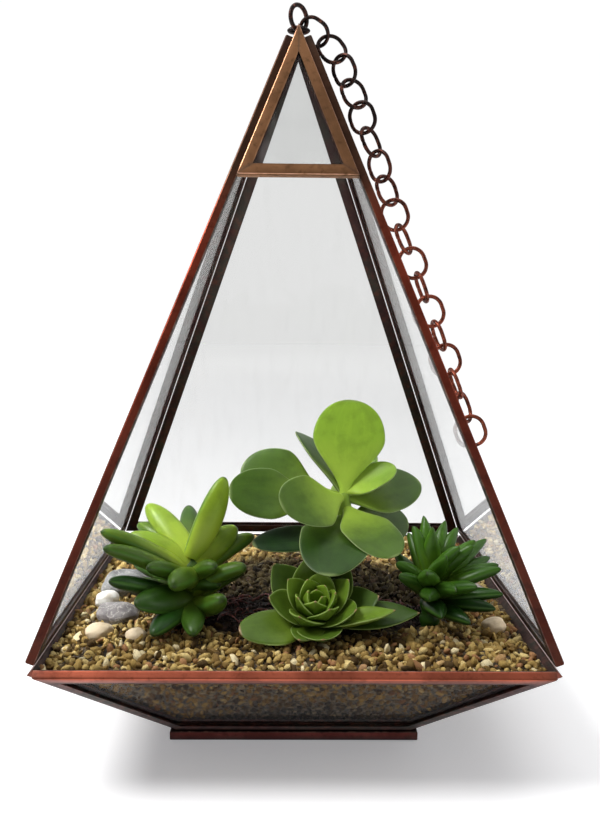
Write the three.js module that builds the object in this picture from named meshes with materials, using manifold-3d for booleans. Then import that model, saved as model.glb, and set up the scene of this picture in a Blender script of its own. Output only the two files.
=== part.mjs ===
// Glass plant terrarium: a square copper-framed glass pyramid with an open front, on an inverted
// glass base filled with gravel, planted with four succulents, and hung by a ring and a link chain.
// Millimetres, +Z up. The origin is the middle of the foot, on the surface it stands on, and the
// open front faces -Y.

import * as THREE from "three";
import { ParametricGeometry } from "three/addons/geometries/ParametricGeometry.js";
import { mergeVertices } from "three/addons/utils/BufferGeometryUtils.js";
import Module from "manifold-3d";

const wasm = await Module();
wasm.setup();

// ---------------------------------------------------------------- driving dimensions

const APEX_Z = 253.3; // where the inner faces of the four upper panes would meet
const UPPER_Z = 42.6; // lower edge of the upper panes
const UPPER_HALF = 80.4; // half width inside the upper panes at that edge
const CAP_Z = 196.6; // lower edge of the small front pane under the tip
const BLUNT_Z = 249.2; // the side and back frames end here, under the ring's solder
const BASE_TOP_Z = 42.2; // upper edge of the base panes
const BASE_TOP_HALF = 80.9; // half width inside the base there
const BASE_LOW_Z = 6.4; // lower edge of the base panes
const BASE_LOW_HALF = 41.8;
const FOOT_HALF = 44; // outside half width of the foot
const FOOT_T = 3.6; // height of the foot's frame

const CAME_T = 3.3; // thickness of a copper came
const CAME_W = 4; // its width in the plane of the glass
const GLASS_T = 1.8;
const GLASS_IN = 1.5; // the glass edge lies this far inside the came's outer edge
const PLAY = 0.25; // play round the glass in its groove
const SEAM = 0.15; // each panel stops this far short of the shared corner

const WIRE_R = 0.72; // chain wire
const LINK_R = 4.65; // half width of a link, at the middle of its wire
const LINK_PITCH = 9.4;
const LINK_COUNT = 18;
const LINK_PLAY = 0.15; // room between two links where they hook
const RING_R = 4.45; // ring at the tip, at the middle of its wire
const RING_Z = 256.6;
const RING_TURN = 48; // degrees, the ring stands oblique to the front

const REST = 0.3; // gap where one loose thing lies on another
const GRAVEL_FLOOR_Z = 3;
const GRAVEL_EDGE_Z = 41.2; // gravel level along the rim
const GRAVEL_MOUND = 1.8; // it rises this much away from the rim
const GRAIN = 1.2; // height of the grains above and below that level
const GRAVEL_CELLS = 34; // grains across the top and along each side
const GRAVEL_ROWS = 5; // rows of grains down each side

const SOIL = { x: 4, y: -34, z: 41.6, rx: 47, ry: 18, rz: 4.4 };
const STEM_FOOT_Z = 39;

// ---------------------------------------------------------------- small helpers

const V = (x, y, z) => new THREE.Vector3(x, y, z);
const radians = THREE.MathUtils.degToRad;

function seeded(seed) {
  let state = seed >>> 0;
  return () => {
    state = (state + 0x6d2b79f5) >>> 0;
    let t = Math.imul(state ^ (state >>> 15), state | 1);
    t ^= t + Math.imul(t ^ (t >>> 7), t | 61);
    return ((t ^ (t >>> 14)) >>> 0) / 4294967296;
  };
}

// A closed geometry as a solid for joining and cutting.
function solid(geometry) {
  const bare = geometry.clone();
  for (const name of Object.keys(bare.attributes)) {
    if (name !== "position") bare.deleteAttribute(name);
  }
  const merged = mergeVertices(bare, 1e-3);
  const corners = merged.index.array;
  const kept = [];
  for (let i = 0; i < corners.length; i += 3) {
    const [a, b, c] = [corners[i], corners[i + 1], corners[i + 2]];
    if (a !== b && b !== c && c !== a) kept.push(a, b, c);
  }
  return new wasm.Manifold(
    new wasm.Mesh({
      numProp: 3,
      vertProperties: new Float32Array(merged.attributes.position.array),
      triVerts: new Uint32Array(kept),
    }),
  );
}

function geometryOf(body) {
  const mesh = body.getMesh();
  const geometry = new THREE.BufferGeometry();
  geometry.setAttribute("position", new THREE.BufferAttribute(mesh.vertProperties, 3));
  geometry.setIndex(new THREE.BufferAttribute(mesh.triVerts, 1));
  geometry.computeVertexNormals();
  return geometry;
}

const joined = (bodies) => bodies.reduce((sum, body) => sum.add(body));

// ---------------------------------------------------------------- materials

const finish = (color, roughness, metalness = 0, opacity = 1) => () =>
  new THREE.MeshStandardMaterial({ color, roughness, metalness, opacity, transparent: opacity < 1 });

const FINISH = {
  copper: finish(0x8a3b22, 0.38, 0.9),
  darkCopper: finish(0x2b1a16, 0.45, 0.85),
  glass: finish(0xe6ecea, 0.04, 0, 0.25),
  gravel: finish(0xb49a6a, 0.9),
  soil: finish(0x2c1d14, 0.95),
  greyStone: finish(0x6d6a68, 0.8),
  paleStone: finish(0xcdbb96, 0.75),
  fingerLeaf: finish(0x5f9a2a, 0.45),
  jadeLeaf: finish(0x5aa52c, 0.4),
  rosetteLeaf: finish(0x5d8f35, 0.45),
  spikeLeaf: finish(0x3f7d27, 0.45),
};

const terrarium = new THREE.Group();

function place(name, geometry, material, parent = terrarium) {
  const mesh = new THREE.Mesh(geometry, material());
  mesh.name = name;
  parent.add(mesh);
  return mesh;
}

// ---------------------------------------------------------------- glazed panels

// The convex outline moved inwards by d; its corners run anticlockwise.
function inset(outline, d) {
  return outline.map((corner, i) => {
    const before = outline[(i + outline.length - 1) % outline.length];
    const after = outline[(i + 1) % outline.length];
    const a = corner.clone().sub(before).normalize();
    const b = after.clone().sub(corner).normalize();
    const turn = a.x * b.y - a.y * b.x;
    return corner.clone().addScaledVector(b, d / turn).addScaledVector(a, -d / turn);
  });
}

function slab(outline, from, to, hole = null) {
  const shape = new THREE.Shape(outline);
  if (hole) shape.holes.push(new THREE.Path(hole));
  const geometry = new THREE.ExtrudeGeometry(shape, { depth: to - from, bevelEnabled: false });
  return geometry.translate(0, 0, from);
}

// A came frame and its pane. The corners lie on the inner face, anticlockwise seen from outside.
function panel(name, corners, thickness = CAME_T) {
  const u = corners[1].clone().sub(corners[0]).normalize();
  const w = u.clone().cross(corners[2].clone().sub(corners[0])).normalize();
  const v = w.clone().cross(u);
  const flat = corners.map((c) => {
    const offset = c.clone().sub(corners[0]);
    return new THREE.Vector2(offset.dot(u), offset.dot(v));
  });
  const outline = inset(flat, SEAM);
  const near = (thickness - GLASS_T) / 2;
  const far = near + GLASS_T;
  const groove = solid(slab(inset(outline, GLASS_IN - PLAY), near - PLAY, far + PLAY));
  const came = solid(slab(outline, 0, thickness, inset(outline, CAME_W))).subtract(groove);

  const group = new THREE.Group();
  group.applyMatrix4(new THREE.Matrix4().makeBasis(u, v, w).setPosition(corners[0]));
  terrarium.add(group);
  place(`came_${name}`, geometryOf(came), FINISH.copper, group);
  place(`pane_${name}`, slab(inset(outline, GLASS_IN), near, far), FINISH.glass, group);
}

const halfAt = (z) => (UPPER_HALF * (APEX_Z - z)) / (APEX_Z - UPPER_Z);
const ringOfCorners = (half, z) => [V(-half, -half, z), V(half, -half, z), V(half, half, z), V(-half, half, z)];

function upperPanels() {
  const low = ringOfCorners(UPPER_HALF, UPPER_Z);
  const high = ringOfCorners(halfAt(BLUNT_Z), BLUNT_Z);
  ["right", "back", "left"].forEach((side, i) => {
    panel(side, [low[i + 1], low[(i + 2) % 4], high[(i + 2) % 4], high[i + 1]]);
  });
  const cap = ringOfCorners(halfAt(CAP_Z), CAP_Z);
  panel("cap_front", [cap[0], cap[1], V(0, 0, APEX_Z)]);
}

function basePanels() {
  const low = ringOfCorners(BASE_LOW_HALF, BASE_LOW_Z);
  const high = ringOfCorners(BASE_TOP_HALF, BASE_TOP_Z);
  ["front", "right", "back", "left"].forEach((side, i) => {
    const j = (i + 1) % 4;
    panel(`base_${side}`, [low[i], low[j], high[j], high[i]]);
  });
  // the foot lies flat, its outer face down
  const foot = ringOfCorners(FOOT_HALF, FOOT_T);
  panel("foot", [foot[1], foot[0], foot[3], foot[2]], FOOT_T);
}

// ---------------------------------------------------------------- ring and chain

// The ring at the tip, soldered into a bead that fills the hollow between the blunt frame ends.
function hangingRing() {
  const turn = radians(RING_TURN);
  const ring = new THREE.TorusGeometry(RING_R, WIRE_R + 0.1, 6, 14);
  ring.rotateX(Math.PI / 2).rotateZ(turn).translate(0, 1, RING_Z);
  const bead = new THREE.IcosahedronGeometry(1, 1).scale(4.4, 2.3, 1.8).translate(0, 2.6, 252.6);
  place("hanging_ring", geometryOf(solid(ring).add(solid(bead))), FINISH.darkCopper);
}

// One link lies along X, with its width along Y: a torus whose two halves are drawn apart.
function linkGeometry() {
  const stretch = LINK_PITCH / 2 + WIRE_R + LINK_PLAY - LINK_R;
  const geometry = new THREE.TorusGeometry(LINK_R, WIRE_R, 4, 12);
  const points = geometry.attributes.position;
  for (let i = 0; i < points.count; i += 1) {
    const x = points.getX(i);
    if (Math.abs(x) > WIRE_R) points.setX(i, x + Math.sign(x) * stretch);
  }
  return geometry;
}

// The chain's middle line, from the ring down the outside of the right-hand panel.
const CHAIN_POINTS = [
  [1.9, 3.9, 255.1], [9.2, 3.4, 250.2], [14.2, 1.6, 243.8], [17.8, 0, 236.2], [21.4, -2, 227.4],
  [24.2, -3, 218.8], [27.6, -4, 210.4], [30.6, -5, 202], [33.2, -6.5, 193.4], [36, -8, 184.6],
  [39.6, -9, 175.6], [43.2, -10, 166.6], [46.6, -11, 157.6], [56.9, -13, 130], [68.6, -14, 99.4],
].map((p) => V(...p));

// Degrees that each link is turned about the chain, from face-on to the front.
const LINK_TURNS = [36, -15, 40, -28, 25, -50, 45, -40, 14, -62, 2, 84, 6, 80, -4, 86, -58, 12];

function chain() {
  const path = new THREE.CatmullRomCurve3(CHAIN_POINTS, false, "centripetal");
  path.arcLengthDivisions = 600;
  const length = path.getLength();
  const link = linkGeometry();
  LINK_TURNS.slice(0, LINK_COUNT).forEach((turn, i) => {
    const start = path.getPointAt((i * LINK_PITCH) / length);
    const end = path.getPointAt(((i + 1) * LINK_PITCH) / length);
    const along = end.clone().sub(start).normalize();
    const front = V(0, -1, 0);
    const up = front.clone().cross(along).negate().normalize();
    const across = up.applyAxisAngle(along, radians(turn));
    const basis = new THREE.Matrix4().makeBasis(along, across, along.clone().cross(across));
    const mesh = place(`chain_link_${String(i + 1).padStart(2, "0")}`, link.clone(), FINISH.darkCopper);
    mesh.applyMatrix4(basis.setPosition(start.add(end).multiplyScalar(0.5)));
  });
}

// ---------------------------------------------------------------- gravel, soil and stones

const smooth = (t) => THREE.MathUtils.smoothstep(t, 0, 1);
const gravelHalf = (z) =>
  BASE_LOW_HALF + ((z - BASE_LOW_Z) * (BASE_TOP_HALF - BASE_LOW_HALF)) / (BASE_TOP_Z - BASE_LOW_Z) - 1.5 * REST;

function gravelBody() {
  const random = seeded(7);
  const jitter = new Map();
  const n = GRAVEL_CELLS;
  const box = new THREE.BoxGeometry(2, 2, 1, n, n, GRAVEL_ROWS);
  const points = box.attributes.position;
  for (let i = 0; i < points.count; i += 1) {
    const [x, y, share] = [points.getX(i), points.getY(i), points.getZ(i) + 0.5];
    const edge = 1 - Math.max(Math.abs(x), Math.abs(y));
    const inside = edge > 1 / n ? 1 : 0;
    if (share < 0.5 / GRAVEL_ROWS) {
      // the flat floor is a fan: its inner points all meet in the middle
      const half = gravelHalf(GRAVEL_FLOOR_Z) * (1 - inside);
      points.setXYZ(i, x * half, y * half, GRAVEL_FLOOR_Z);
      continue;
    }
    const key = [x * n, y * n, share * GRAVEL_ROWS].map(Math.round).join();
    if (!jitter.has(key)) jitter.set(key, [random() - 0.5, random() - 0.5, random() * 2 - 1]);
    const [dx, dy, dz] = jitter.get(key);
    if (share < 1 - 0.5 / GRAVEL_ROWS) {
      // the sloping sides lie against the base panes, with hollows between the grains
      const level = GRAVEL_FLOOR_Z + (GRAVEL_EDGE_Z - GRAVEL_FLOOR_Z) * share + GRAIN * dx;
      const half = gravelHalf(level) - GRAIN * (dz + 1);
      points.setXYZ(i, x * half, y * half, level);
      continue;
    }
    const half = gravelHalf(GRAVEL_EDGE_Z);
    const shift = (0.7 * half * inside) / n;
    const level = GRAVEL_EDGE_Z + GRAVEL_MOUND * smooth(edge / 0.3);
    points.setXYZ(i, x * half + dx * shift, y * half + dy * shift, level + GRAIN * dz * inside);
  }
  return solid(box);
}

function roughBall(radii, seed, detail, roughness) {
  const random = seeded(seed);
  const ball = mergeVertices(bareGeometry(new THREE.IcosahedronGeometry(1, detail)), 1e-3);
  const points = ball.attributes.position;
  for (let i = 0; i < points.count; i += 1) {
    const r = 1 - roughness * random();
    points.setXYZ(i, points.getX(i) * r, points.getY(i) * r, points.getZ(i) * r);
  }
  return ball.scale(...radii);
}

function bareGeometry(geometry) {
  geometry.deleteAttribute("normal");
  geometry.deleteAttribute("uv");
  return geometry;
}

// Each stone: name, centre, half sizes, turn about Z in degrees, finish, fineness.
const STONES = [
  ["stone_slate", [-64, -8, 45.5], [11, 9, 6.5], 20, FINISH.greyStone, 2],
  ["pebble_white", [-69, -24, 44.6], [5.5, 4.5, 3.6], 70, FINISH.paleStone, 1],
  ["stone_flat", [-62.5, -38, 44.6], [9, 7, 4], -15, FINISH.greyStone, 2],
  ["pebble_cream_a", [-66, -53, 43.6], [5, 4, 3.4], 30, FINISH.paleStone, 1],
  ["pebble_cream_b", [-53, -56, 43.4], [4.4, 3.6, 3], -40, FINISH.paleStone, 1],
  ["pebble_pink", [-50, -20, 44.4], [5.5, 4.2, 3.4], 55, FINISH.paleStone, 1],
  ["stone_purple", [61, -18, 45.6], [13, 9, 6.4], -25, FINISH.greyStone, 2],
  ["pebble_tan", [67, -2, 44.8], [7, 5.5, 4.4], 35, FINISH.paleStone, 1],
  ["pebble_cream_c", [69, -46, 43.6], [4.6, 3.8, 3.2], 10, FINISH.paleStone, 1],
];

function groundAndStones(stems) {
  let gravel = gravelBody();
  STONES.forEach(([name, centre, radii, turn, material, detail], i) => {
    const put = (geometry) => geometry.rotateZ(radians(turn)).translate(...centre);
    place(name, put(roughBall(radii, 20 + i, detail, 0.14)), material);
    const wide = radii.map((r) => r + REST);
    gravel = gravel.subtract(solid(put(roughBall(wide, 20 + i, detail, 0.14))));
  });

  const { x, y, z, rx, ry, rz } = SOIL;
  const hollow = new THREE.SphereGeometry(1, 22, 10).scale(rx + 2 * REST, ry + 2 * REST, rz + REST);
  gravel = gravel.subtract(solid(hollow.translate(x, y, z)));
  let soil = solid(roughBall([rx, ry, rz], 5, 3, 0.07).translate(x, y, z));
  for (const stem of stems) {
    soil = soil.subtract(stem);
    gravel = gravel.subtract(stem);
  }
  place("gravel", geometryOf(gravel), FINISH.gravel);
  place("soil", geometryOf(soil), FINISH.soil);
}

// ---------------------------------------------------------------- leaves

// Half width and half thickness along a leaf, as shares of its greatest width and thickness.
const FORMS = {
  finger: (t) => [(0.7 + 0.3 * Math.sin(Math.PI * Math.min(1, 1.1 * t))) * Math.sqrt(1 - t ** 5), 1 - t ** 5],
  spike: (t) => [(0.62 + 0.38 * Math.sin(Math.PI * Math.min(1, 1.2 * t))) * (1 - t ** 3) ** 0.8, 1 - t ** 3],
  spoon: (t) => [(0.16 + 0.84 * smooth(t / 0.66)) * Math.sqrt(1 - Math.max(0, t / 0.35 - 1.857) ** 2.4), 1 - t ** 6],
  scale: (t) => [(0.42 + 0.58 * Math.sin(Math.PI * Math.min(0.9, 0.8 * t))) * (1 - t ** 4) ** 0.9, 1 - t ** 4],
};

// A leaf from root to tip. At t along it, its middle line stands off the straight line by
// 4 bow t (1 - t) towards the side that it faces, and its section is an ellipse across that line.
function leafBody({ root, tip, width, thick, bow = 0, cup = 0, face = [0, 0, 1], form, sides = 6, rings = 6 }) {
  const from = V(...root);
  const along = V(...tip).sub(from);
  const axis = along.clone().normalize();
  const normal = V(...face).addScaledVector(axis, -V(...face).dot(axis)).normalize();
  const side = axis.clone().cross(normal);
  const surface = (u, v, target) => {
    const t = Math.max(0, Math.min(1, (v * (rings + 2) - 1) / rings)) ** 0.85;
    const closed = v === 0 || v >= 1;
    const [w, h] = closed ? [0, 0] : FORMS[form](Math.min(t, 0.985));
    const angle = -2 * Math.PI * u;
    const across = (Math.cos(angle) * w * width) / 2;
    const lift = (Math.sin(angle) * Math.sqrt(Math.max(h, 0.04)) * thick * (closed ? 0 : 1)) / 2;
    const dish = cup * (across / (width / 2)) ** 2;
    target.copy(from).addScaledVector(along, t);
    target.addScaledVector(normal, 4 * bow * t * (1 - t) + lift + dish);
    target.addScaledVector(side, across);
  };
  return solid(new ParametricGeometry(surface, sides, rings + 2));
}

function stemBody(x, y, top, radius, grow = 0) {
  const height = top - STEM_FOOT_Z + grow;
  const stem = new THREE.CylinderGeometry(radius + grow, radius + grow, height, 10);
  return solid(stem.rotateX(Math.PI / 2).translate(x, y, STEM_FOOT_Z + height / 2 - grow));
}

// A plant: a stem in the soil, and leaves that start inside it at the heights given.
function plantBody({ x, y, top, radius, leaves, defaults }) {
  const bodies = leaves.map(([h, tip, width, extra = {}]) =>
    leafBody({ ...defaults, root: [x, y, h], tip, width, ...extra }),
  );
  return joined([stemBody(x, y, top, radius), ...bodies]);
}

// Rows below: root height on the stem, tip, width, and what differs from the plant's defaults.
const FINGER_PLANT = {
  x: -37, y: -38, top: 63, radius: 4,
  defaults: { form: "finger", thick: 5.6, bow: 1.4, sides: 5, rings: 4 },
  leaves: [
    [62, [-26, -34, 92], 9, { face: [0.6, -1, 0.2] }], [62, [-54, -22, 80], 8.5, { face: [0.3, -1, 0.6] }],
    [59, [-62, -56, 77], 8], [56, [-61, -59, 71], 8.5], [51, [-59, -60, 61], 8],
    [50, [-52, -62, 56], 9.5], [57, [-42, -60, 62], 9], [60, [-24, -30, 73], 7.5],
    [58, [-18, -25, 68], 7.5], [54, [-18, -48, 64], 7.5], [51, [-23, -57, 56], 8],
    [61, [-40, -14, 77], 7.5], [60, [-58, -32, 75], 6.5], [58, [-53, -24, 72], 6.5],
    [51, [-31, -63, 51], 8], [51, [-43, -65, 52], 8], [52, [-52, -12, 64], 8],
    [53, [-30, -12, 62], 8], [50, [-60, -44, 54], 8], [50, [-20, -20, 57], 7.5],
    [51, [-58, -28, 58], 8], [55, [-46, -56, 72], 7.5], [56, [-30, -54, 70], 7],
  ],
};

const JADE_PLANT = {
  x: 18, y: -20, top: 84, radius: 3,
  defaults: { form: "spoon", thick: 2.6, bow: -1.2, cup: 1.4, sides: 6, rings: 6, face: [0, -1, 0.6] },
  leaves: [
    [82, [21, -12, 118], 25, { face: [0, -1, 0.3] }],
    [81, [4, 0, 102], 18, { face: [1, 0.2, 0.6], bow: 1.5 }],
    [81, [-20, -10, 94], 18, { face: [0.1, -1, 0.9] }],
    [80, [-25, -27, 87], 19, { face: [0, -1, 1] }],
    [79, [-5, -44, 84], 20, { face: [-0.2, -1, 0.6] }],
    [82, [39, -16, 93], 11, { face: [-0.3, -0.5, 1], cup: 2.4 }],
    [80, [48, -8, 85], 19, { face: [-0.2, -0.7, 1] }],
    [78, [35, -44, 67], 19, { face: [0.3, -0.8, 0.8] }],
    [74, [12, -52, 66], 26, { face: [0, -0.6, 1] }],
    [70, [-12, -34, 71], 11, { face: [0, -0.2, 1] }],
    [74, [44, -4, 70], 14, { face: [0, -1, 0.5] }],
    [79, [28, 12, 92], 18, { face: [0, 0.8, 0.8] }], [75, [0, 8, 78], 18, { face: [0, 0.6, 1] }],
  ],
};

const SPIKE_PLANT = {
  x: 45, y: -42, top: 58, radius: 3.6,
  defaults: { form: "spike", thick: 4, bow: 1, sides: 4, rings: 4 },
  leaves: [
    [57, [45, -37, 80], 6.5], [57, [53, -34, 77], 6.5], [56, [58, -30, 74], 6], [55, [65, -34, 71], 6],
    [55, [66, -45, 67], 6], [53, [70, -49, 63], 6], [54, [59, -60, 63], 6.5], [51, [63, -58, 55], 6.5],
    [50, [57, -62, 51], 6.5], [56, [43, -60, 64], 6.5], [54, [35, -56, 62], 6.5], [56, [42, -28, 72], 6],
    [52, [31, -48, 57], 6], [57, [49, -44, 79], 6], [56, [60, -40, 75], 6], [55, [60, -51, 71], 6],
    [55, [52, -55, 70], 6], [52, [67, -52, 58], 6], [51, [50, -64, 56], 6.5], [52, [66, -38, 61], 6.5],
    [53, [58, -24, 65], 6], [54, [47, -20, 66], 6], [52, [36, -26, 63], 6], [51, [60, -28, 58], 6.5],
    [56, [40, -35, 74], 6], [50, [68, -45, 53], 6.5], [50, [42, -62, 52], 6.5], [51, [46, -20, 57], 6],
  ],
};

const ROSETTE = { x: 7, y: -50, top: 51, radius: 4, tilt: 27, count: 26, low: 46.4 };

// Leaf i of the rosette stands at i golden angles round its axis, and closes from wide open at
// the outside to nearly upright in the middle.
function rosetteLeaves() {
  const { x, y, tilt, count, low } = ROSETTE;
  const golden = 137.508;
  const axis = V(0, -Math.sin(radians(tilt)), Math.cos(radians(tilt)));
  const leaves = [];
  for (let i = 0; i < count; i += 1) {
    const share = i / (count - 1);
    const open = radians(80 - 66 * share);
    const reach = 20 - 12.5 * share;
    const out = V(1, 0, 0).applyAxisAngle(V(1, 0, 0), radians(tilt)).applyAxisAngle(axis, radians(golden * i));
    const way = out.multiplyScalar(Math.sin(open)).addScaledVector(axis, Math.cos(open));
    const root = V(x, y, 47).addScaledVector(axis, 1.5 + 2.5 * share);
    const tip = root.clone().addScaledVector(way, reach);
    tip.z = Math.max(tip.z, low);
    const face = axis.clone().addScaledVector(way, -0.5);
    leaves.push({
      root: root.toArray(), tip: tip.toArray(), face: face.toArray(),
      width: 13 - 6.5 * share, thick: 2.2, bow: -1.4, cup: 1.6,
    });
  }
  return leaves;
}

// Larger old leaves that lie on the gravel round the rosette.
const ROSETTE_OUTER = [
  { root: [6, -52, 47.2], tip: [-17, -62, 49], width: 13, face: [0, -0.5, 1] },
  { root: [8, -52, 47.2], tip: [33, -59, 53], width: 10, face: [0, -0.4, 1] },
  { root: [9, -50, 47.2], tip: [38, -66, 51], width: 12, face: [0, -0.3, 1] },
  { root: [6, -52, 47.2], tip: [-4, -69, 47], width: 11, face: [0, -0.3, 1] },
];

function rosetteBody() {
  const { x, y, top, radius } = ROSETTE;
  const defaults = { form: "scale", thick: 2.4, bow: -1, cup: 1.5, sides: 4, rings: 4 };
  const bodies = [...rosetteLeaves(), ...ROSETTE_OUTER].map((leaf) => leafBody({ ...defaults, ...leaf }));
  return joined([stemBody(x, y, top, radius), ...bodies]);
}

function plants() {
  place("finger_succulent", geometryOf(plantBody(FINGER_PLANT)), FINISH.fingerLeaf);
  place("jade_succulent", geometryOf(plantBody(JADE_PLANT)), FINISH.jadeLeaf);
  place("spike_succulent", geometryOf(plantBody(SPIKE_PLANT)), FINISH.spikeLeaf);
  place("rosette_succulent", geometryOf(rosetteBody()), FINISH.rosetteLeaf);
  return [FINGER_PLANT, JADE_PLANT, SPIKE_PLANT, ROSETTE].map(({ x, y, top, radius }) =>
    stemBody(x, y, top, radius, REST),
  );
}

// ---------------------------------------------------------------- assembly

upperPanels();
basePanels();
hangingRing();
chain();
groundAndStones(plants());

export default terrarium;
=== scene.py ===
"""Looks of the glass plant terrarium: a copper-framed glass pyramid with an open front on an inverted
glass base of gravel, four succulents, stones, and a ring and link chain at the tip.

Shapes are worked out in millimetres and enter their meshes in metres, +Z up, open front towards -Y.
"""

import math

import bpy
import numpy as np
from mathutils import Matrix, Vector


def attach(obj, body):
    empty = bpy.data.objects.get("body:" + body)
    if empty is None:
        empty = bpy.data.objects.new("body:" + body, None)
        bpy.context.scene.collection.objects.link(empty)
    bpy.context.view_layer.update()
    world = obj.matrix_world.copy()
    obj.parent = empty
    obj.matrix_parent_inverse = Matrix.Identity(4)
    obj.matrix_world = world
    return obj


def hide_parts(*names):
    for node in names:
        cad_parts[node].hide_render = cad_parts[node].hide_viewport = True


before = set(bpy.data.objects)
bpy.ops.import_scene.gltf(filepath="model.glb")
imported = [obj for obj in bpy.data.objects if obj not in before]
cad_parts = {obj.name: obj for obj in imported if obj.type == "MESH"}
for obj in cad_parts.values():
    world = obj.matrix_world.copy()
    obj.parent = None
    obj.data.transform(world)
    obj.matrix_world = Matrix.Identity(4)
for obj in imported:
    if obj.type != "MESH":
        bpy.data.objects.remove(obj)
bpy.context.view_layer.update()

# ---------------------------------------------------------------- camera

CAMERA_PLACE = (-3.857, -349.48, 156.97)
CAMERA_AHEAD = (0.01610, 0.99073, -0.13489)
CAMERA_RIGHT = (0.99984, -0.01498, 0.00930)
CAMERA_LENS = 39.4  # on a 36 mm high frame
MM = 0.001


def set_camera():
    """Stands the camera where the photographer stood. Its axes are right, up = right x ahead, and back."""
    ahead = Vector(CAMERA_AHEAD).normalized()
    right = Vector(CAMERA_RIGHT)
    right = (right - ahead * right.dot(ahead)).normalized()
    up = right.cross(ahead)
    data = bpy.data.cameras.new("camera")
    data.lens = CAMERA_LENS
    data.sensor_width = 36.0
    data.sensor_fit = "AUTO"
    data.clip_start = 0.01
    camera = bpy.data.objects.new("camera", data)
    bpy.context.scene.collection.objects.link(camera)
    turn = Matrix((right, up, -ahead)).transposed().to_4x4()
    camera.matrix_world = Matrix.Translation(Vector(CAMERA_PLACE) * MM) @ turn
    bpy.context.scene.camera = camera


set_camera()

# ---------------------------------------------------------------- sizes, as in the solids

APEX_Z = 253.3
UPPER_Z = 42.6
UPPER_HALF = 80.4
CAP_Z = 196.6
BLUNT_Z = 249.2
BASE_TOP_Z = 42.2
BASE_TOP_HALF = 80.9
BASE_LOW_Z = 6.4
BASE_LOW_HALF = 41.8
FOOT_HALF = 44.0
FOOT_T = 3.6
CAME_T = 3.3
CAME_W = 4.0
ROUNDING = 0.55
GLASS_T = 1.8
GLASS_IN = 1.5
PLAY = 0.25
SEAM = 0.15
WIRE_R = 0.72
WIRE_SIDES = 14
LINK_R = 4.65
LINK_PITCH = 9.4
LINK_PLAY = 0.15
RING_R = 4.45
RING_MIDDLE = (0.0, 1.0, 256.6)
RING_TURN = 48.0
BEAD_MIDDLE = (0.0, 2.6, 252.6)
BEAD_HALF = (4.4, 2.3, 1.8)
REST = 0.3
GRAVEL_FLOOR_Z = 3.0
GRAVEL_EDGE_Z = 41.2
GRAVEL_MOUND = 1.8
SOIL = {"x": 4.0, "y": -34.0, "z": 41.6, "rx": 47.0, "ry": 18.0, "rz": 4.4}
STEM_FOOT_Z = 39.0
UP = np.array([0.0, 0.0, 1.0])

# ---------------------------------------------------------------- vectors and grids


def turns(count):
    """As many angles as count, evenly round a full turn."""
    return np.linspace(0, 2 * np.pi, count, endpoint=False)


def unit(v):
    """Vectors brought to length 1."""
    return v / np.linalg.norm(v, axis=-1, keepdims=True)


def smooth(t):
    """A soft step: t held between 0 and 1, then t t (3 - 2 t)."""
    t = np.clip(t, 0, 1)
    return t * t * (3 - 2 * t)


def lattice(rows, cols, round_rows=False, round_cols=False):
    """Quads between the neighbours of a rows by cols grid of points, closed round where asked."""
    i = np.arange(rows if round_rows else rows - 1)
    j = np.arange(cols if round_cols else cols - 1)
    i, j = np.meshgrid(i, j, indexing="ij")
    down, across = (i + 1) % rows, (j + 1) % cols
    quads = np.stack([i * cols + j, i * cols + across, down * cols + across, down * cols + j], -1)
    return quads.reshape(-1, 4)


def capped(rings):
    """A closed skin over rings (n, m, 3): quads between them and a fan over each end ring's middle."""
    n, m = rings.shape[:2]
    ends = np.stack([rings[0].mean(0), rings[-1].mean(0)])
    points = np.concatenate([rings.reshape(-1, 3), ends])
    k = np.arange(m)
    first = np.stack([np.full(m, n * m), (k + 1) % m, k], -1)
    last = np.stack([np.full(m, n * m + 1), (n - 1) * m + k, (n - 1) * m + (k + 1) % m], -1)
    return outward(points, [lattice(n, m, round_cols=True), first, last])


def outward(points, faces):
    """Turns the faces over where the volume they close, the sum of a . (b x c) / 6, is below zero."""
    tris = np.concatenate([f[:, [0, i, i + 1]] for f in faces for i in range(1, f.shape[1] - 1)])
    a, b, c = (points[tris[:, k]] for k in range(3))
    if np.einsum("ij,ij->i", a, np.cross(b, c)).sum() < 0:
        faces = [f[:, ::-1] for f in faces]
    return points, faces


def gather(bodies):
    """Several (points, faces, marks) as one, with the faces' numbers moved on."""
    points, faces, marks, count = [], [], {}, 0
    for body in bodies:
        points.append(body[0])
        faces += [f + count for f in body[1]]
        for key, values in (body[2] if len(body) > 2 else {}).items():
            marks.setdefault(key, []).append(values)
        count += len(body[0])
    return np.concatenate(points), faces, {key: np.concatenate(rows) for key, rows in marks.items()}


def waves(points, seed, size, count=12):
    """Smooth noise between about -1 and 1: the sum of sines along random directions, size mm apart."""
    chance = np.random.default_rng(seed)
    ways = chance.normal(size=(count, 3)) * (2 * np.pi / size) / 1.7
    phases = chance.uniform(0, 2 * np.pi, count)
    return np.sin(points @ ways.T + phases).sum(-1) / math.sqrt(count)


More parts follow.
